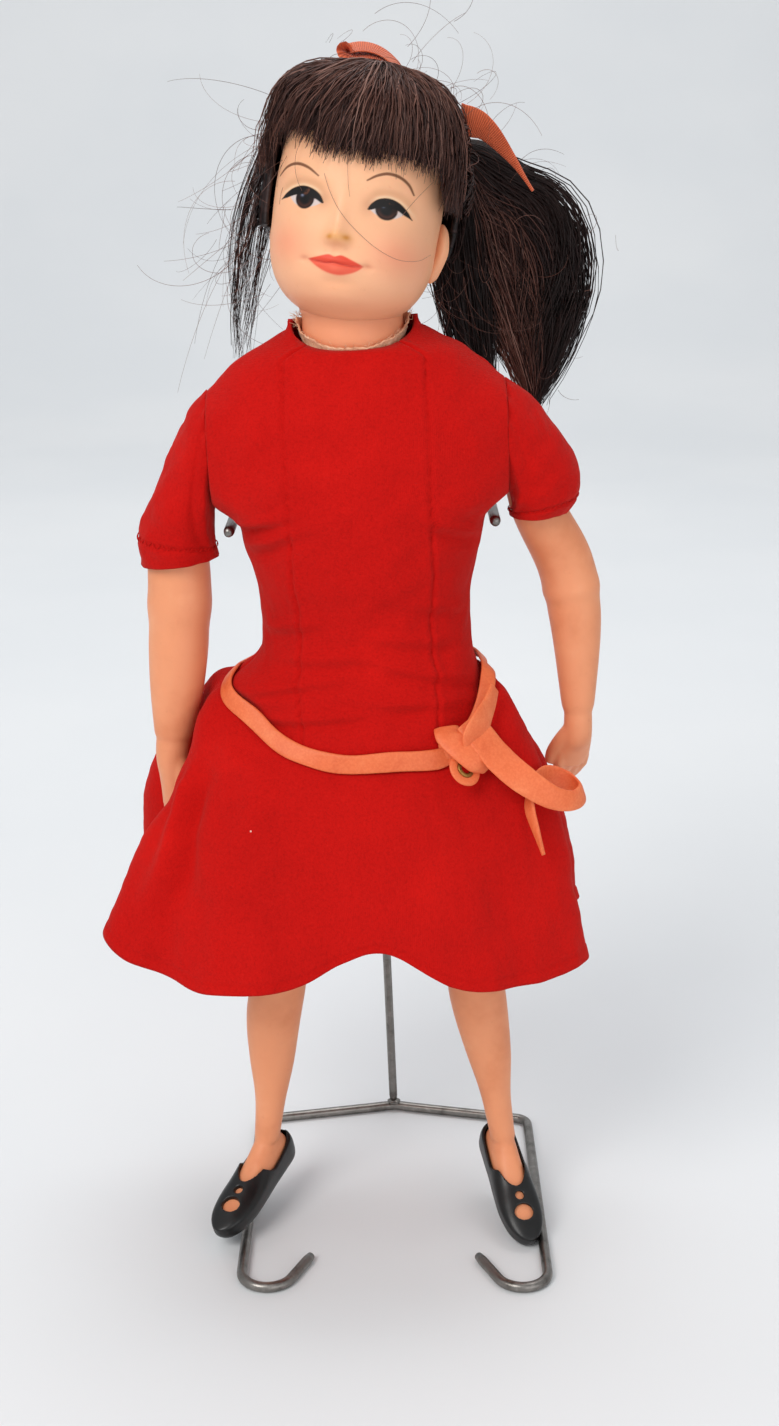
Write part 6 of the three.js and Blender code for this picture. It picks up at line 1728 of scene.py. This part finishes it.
def leg(name, side, look):
    """A straight leg with its foot and the drum that fills the body's socket."""
    splay = math.radians(LEG_SPLAY[name])
    below = np.linspace(3, LEG_LENGTH + FOOT_POSES[name][2], 110)
    shift, wide, front, back = leg_section(np.minimum(below, LEG_LENGTH))
    shift = shift + CALF_LEAN[name] * bell(below, 88, 16)
    turn = circle(64)
    knee = bell(below, 68, 5.5)
    depth = np.where(np.cos(turn) > 0, (front + 0.5 * knee)[:, None], back[:, None])
    x = (HIP_REACH + below * math.sin(splay) + shift)[:, None] + wide[:, None] * np.sin(turn)
    y = -depth * np.cos(turn)
    z = np.broadcast_to((HIP_HEIGHT - below * math.cos(splay))[:, None], x.shape)
    parts = [closed_tube(np.stack([x, y, z], -1))]
    parts.append(closed_tube(foot_place(name, foot_form(0, 0))))
    across = np.array([9.5, 10, 11, 14, 18, 22, 25, 27, 28])
    radii = np.array([12.6, 13.4, 13.7, 13.8, 13.8, 13.6, 12.8, 11, 8.5])
    parts.append(drum(across, radii, turn, HIP_HEIGHT))
    if side < 0:
        parts = [(points * [-1, 1, 1], faces) for points, faces in parts]
    obj = welded(f"leg_{name}_skin", parts, 0.55, look, 8)
    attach(obj, f"leg_{name}")
    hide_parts(f"leg_{name}")


def shoe(name, side, look):
    """A soft flat moulded shoe: its outer form less its inner, with a throat, a round and an oval hole."""
    def solid_of(label, points, faces):
        return recalc(mesh_object(label, figure(foot_place(name, points) * [side, 1, 1]), faces, None))

    margin, wall, sole = 0.35, 0.8, 1.5
    body = solid_of(f"shoe_{name}_vinyl", *closed_tube(foot_form(margin + wall, margin + sole)))
    cutters = [solid_of("cut", *closed_tube(foot_form(margin, margin)))]
    turn = circle(48)
    for forward, reach, across in ((10.6, 11.2, 4.4), (24.5, 1.2, 1.2), (29.2, 2.3, 2.6)):
        flat = forward + reach * np.cos(turn), across * np.sin(turn)
        rings = np.array([np.stack([*flat, np.full(48, level)], -1) for level in (0.0, 20.0)])
        cutters.append(solid_of("cut", *closed_tube(rings)))
    # The topline: everything above a slanted, slightly bowed sheet is cut off
    n = 40
    gx, gy = np.meshgrid(np.linspace(-10, 22, n), np.linspace(-20, 20, n), indexing="ij")
    slant = math.radians(9)
    rise = 3.7 + 0.005 * (gx - 8) ** 2 + 7.5 * smoothstep(14, 22, gx)
    low = np.stack([gx * math.cos(slant) - 1, gy, rise - gx * math.sin(slant)], -1)
    sheets = np.concatenate([low.reshape(-1, 3), (low + [0, 0, 20]).reshape(-1, 3)])
    quads = grid_faces(n, n)
    last = n * (n - 1)
    edge = []
    for i in range(n - 1):
        for a, b in ((i, i + 1), (last + i + 1, last + i), (i * n + n, i * n),
                     (i * n + n - 1, i * n + 2 * n - 1)):
            edge.append([a, b, b + n * n, a + n * n])
    cutters.append(solid_of("cut", sheets, np.concatenate([quads, quads + n * n, edge])))
    for cutter in cutters:
        cut = body.modifiers.new("cut", "BOOLEAN")
        cut.operation = "DIFFERENCE"
        cut.solver = "EXACT"
        cut.object = cutter
    melt(body, 0.24, 5, look)
    for cutter in cutters:
        bpy.data.objects.remove(cutter)
    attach(body, f"leg_{name}")
    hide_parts(f"shoe_{name}")


# Stand

WIRE_RADIUS = 1.4
ROD_RADIUS = 1.25
FORK_SPAN = 67.2
FORK_HEIGHT = 199
FORK_TIP_Y = -7


def wire(name, points, radius, look, place):
    """A round wire along points, its ends slightly rounded."""
    points = np.array(points, float)
    steps = [points[0]]
    for a, b in zip(points[:-1], points[1:]):
        count = max(1, int(np.linalg.norm(b - a) / 2.0))
        steps += [lerp(a, b, (i + 1) / count) for i in range(count)]
    points = np.array(steps)
    tangent = unit(np.gradient(points, axis=0))
    side = np.cross(tangent[0], [0.3, 0.2, 1.0])
    rings = []
    turn = circle(20)
    ends = np.ones(len(points))
    ends[[0, -1]] = 0.8
    for i, (point, along) in enumerate(zip(points, tangent)):
        side = side - along * (side @ along)
        side /= np.linalg.norm(side)
        over_it = np.cross(along, side)
        rings.append(point + ends[i] * radius * (np.cos(turn)[:, None] * side
                                                 + np.sin(turn)[:, None] * over_it))
    tube_points, faces = closed_tube(np.array(rings))
    obj = recalc(mesh_object(name, place(tube_points), faces, look))
    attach(obj, "stand")
    return obj


def arc_points(cx, cy, radius, start, end, steps, height):
    ways = [math.radians(lerp(start, end, i / steps)) for i in range(steps + 1)]
    return [(cx + radius * math.cos(way), cy + radius * math.sin(way), height) for way in ways]


def stand(look):
    """The hooked base, the rod that leans back from it, and the fork that holds the doll's chest."""
    half, height, bar_y = 41, WIRE_RADIUS, -8
    hook_y = bar_y - 82
    bend = arc_points(-half + 7, hook_y, 7, 335, 180, 30, height)
    heading = math.radians(65)
    tip = (bend[0][0] + 11.5 * math.cos(heading), bend[0][1] + 11.5 * math.sin(heading), height)
    side = [tip] + bend + arc_points(-half + 4, bar_y - 4, 4, 180, 100, 12, height)
    mirrored = [(-x, y, z) for x, y, z in reversed(side)]
    middle = [(-5, -1.0, height), (-2.5, -0.35, height), (0, 0, height), (2.5, -0.35, height),
              (5, -1.0, height)]
    base = wire("stand_base", side + middle + mirrored, WIRE_RADIUS, look, upright)
    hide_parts("base_wire")

    def leaning(points):
        return figure(np.asarray(points, float) + [0, ROD_STANDOFF, 0])

    rod_line = [(0, 0, 3.1), (0, 0, 60), (0.1, 0.05, 120), (0, 0, 197.3)]
    rod = wire("stand_rod", rod_line, ROD_RADIUS, look, leaning)
    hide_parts("upright_rod")
    span = FORK_SPAN / 2
    arc = arc_points(0, ROD_STANDOFF - span, span, 0, 180, 44, FORK_HEIGHT)
    first, last = [(way * span, FORK_TIP_Y, FORK_HEIGHT) for way in (1, -1)]
    fork = wire("stand_fork", [first] + arc + [last], WIRE_RADIUS, look, figure)
    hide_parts("fork_wire")
    # Weld beads where the rod meets the crossbar and the fork
    for name, centre, reach, place in (("weld_base", (0, 0, 2.9), (2.0, 1.9, 0.9), upright),
                                       ("weld_fork", (0, 0, 197.4), (1.9, 1.9, 0.8), leaning)):
        a, b = np.meshgrid(circle(32), np.linspace(-0.49, 0.49, 14) * PI)
        lump = 1 + 0.06 * np.sin(a * 5) * np.cos(b)
        ball = np.stack([np.cos(b) * np.cos(a) * lump, np.cos(b) * np.sin(a) * lump, np.sin(b)], -1)
        points, faces = closed_tube(ball * reach + centre)
        bead = recalc(mesh_object(name, place(points), faces, look))
        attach(bead, "stand")


def backdrop(floor_look):
    """One pale sheet: floor that curves up behind."""
    run = [(y, 0.0) for y in np.linspace(-3, 1.2, 30)]
    run += [(1.2 + 1.2 * math.sin(a), 1.2 - 1.2 * math.cos(a)) for a in np.linspace(0.05, PI / 2, 24)]
    run += [(2.4, z) for z in np.linspace(1.4, 4.5, 12)]
    grid = np.array([[(x, y, z) for x in np.linspace(-4, 4, 20)] for y, z in run])
    mesh_object("floor_sheet", grid, grid_faces(len(run), 20), floor_look)


def world(colour, strength):
    made = bpy.data.worlds.new("studio")
    made.use_nodes = True
    background = made.node_tree.nodes["Background"]
    background.inputs["Color"].default_value = (*colour, 1)
    background.inputs["Strength"].default_value = strength
    bpy.context.scene.world = made


camera()

skin = vinyl("skin_vinyl", (218, 136, 94), (231, 152, 110), (240, 166, 124))
face_vinyl = vinyl("face_vinyl", (247, 237, 226), (252, 243, 233), (255, 248, 240), painted=True)
body_vinyl = vinyl("body_plastic", (214, 142, 108), (226, 158, 122), (234, 170, 134))
dress_look = cotton()
lining_look = lining_cloth()
belt_look = soft_strap()
ribbon_look = grosgrain()
hair_look = hair_fibre()
mass_look = hair_mass()
brass_look = brass()
steel_look = steel()
shoe_look = shoe_vinyl()

for node in ("torso_front", "torso_back", "neck_post"):
    obj = frame["nodes"][node]
    obj = bpy.data.objects[obj] if isinstance(obj, str) else obj
    for slot in obj.material_slots:
        slot.material = body_vinyl

bodice_piece = bodice(dress_look)
skirt_piece = skirt(dress_look)
for side_name, sign in (("right", -1), ("left", 1)):
    sleeve(side_name, sign, dress_look)
    arm(side_name, sign, skin)
    leg(side_name, sign, skin)
    shoe(side_name, sign, shoe_look)
lining(lining_look)
belt(belt_look, brass_look)
head(face_vinyl)
hair_base(mass_look)
fringe(hair_look)
swept_hair(hair_look)
ponytail(hair_look, mass_look)
side_lock(hair_look)
stray_hair(hair_look)
ribbon(ribbon_look)
stand(steel_look)
backdrop(paper("floor_paper", (228, 230, 232), (222, 225, 228)))

bpy.context.scene.view_settings.view_transform = "Standard"
world((0.98, 0.99, 1.0), 0.55)
area_light("key", (-0.6, -0.95, 1.0), (0, -0.05, 0.17), 0.7, 9.6, (1.0, 0.985, 0.96))
area_light("fill", (0.6, -1.1, 0.3), (0, -0.05, 0.08), 1.0, 3.2, (0.99, 0.99, 1.0))
area_light("top", (0.1, 0.3, 1.5), (0, 0, 0.15), 1.0, 4)
area_light("wash", (0, 0.5, 1.7), (0, 2.2, 0.5), 1.6, 13)
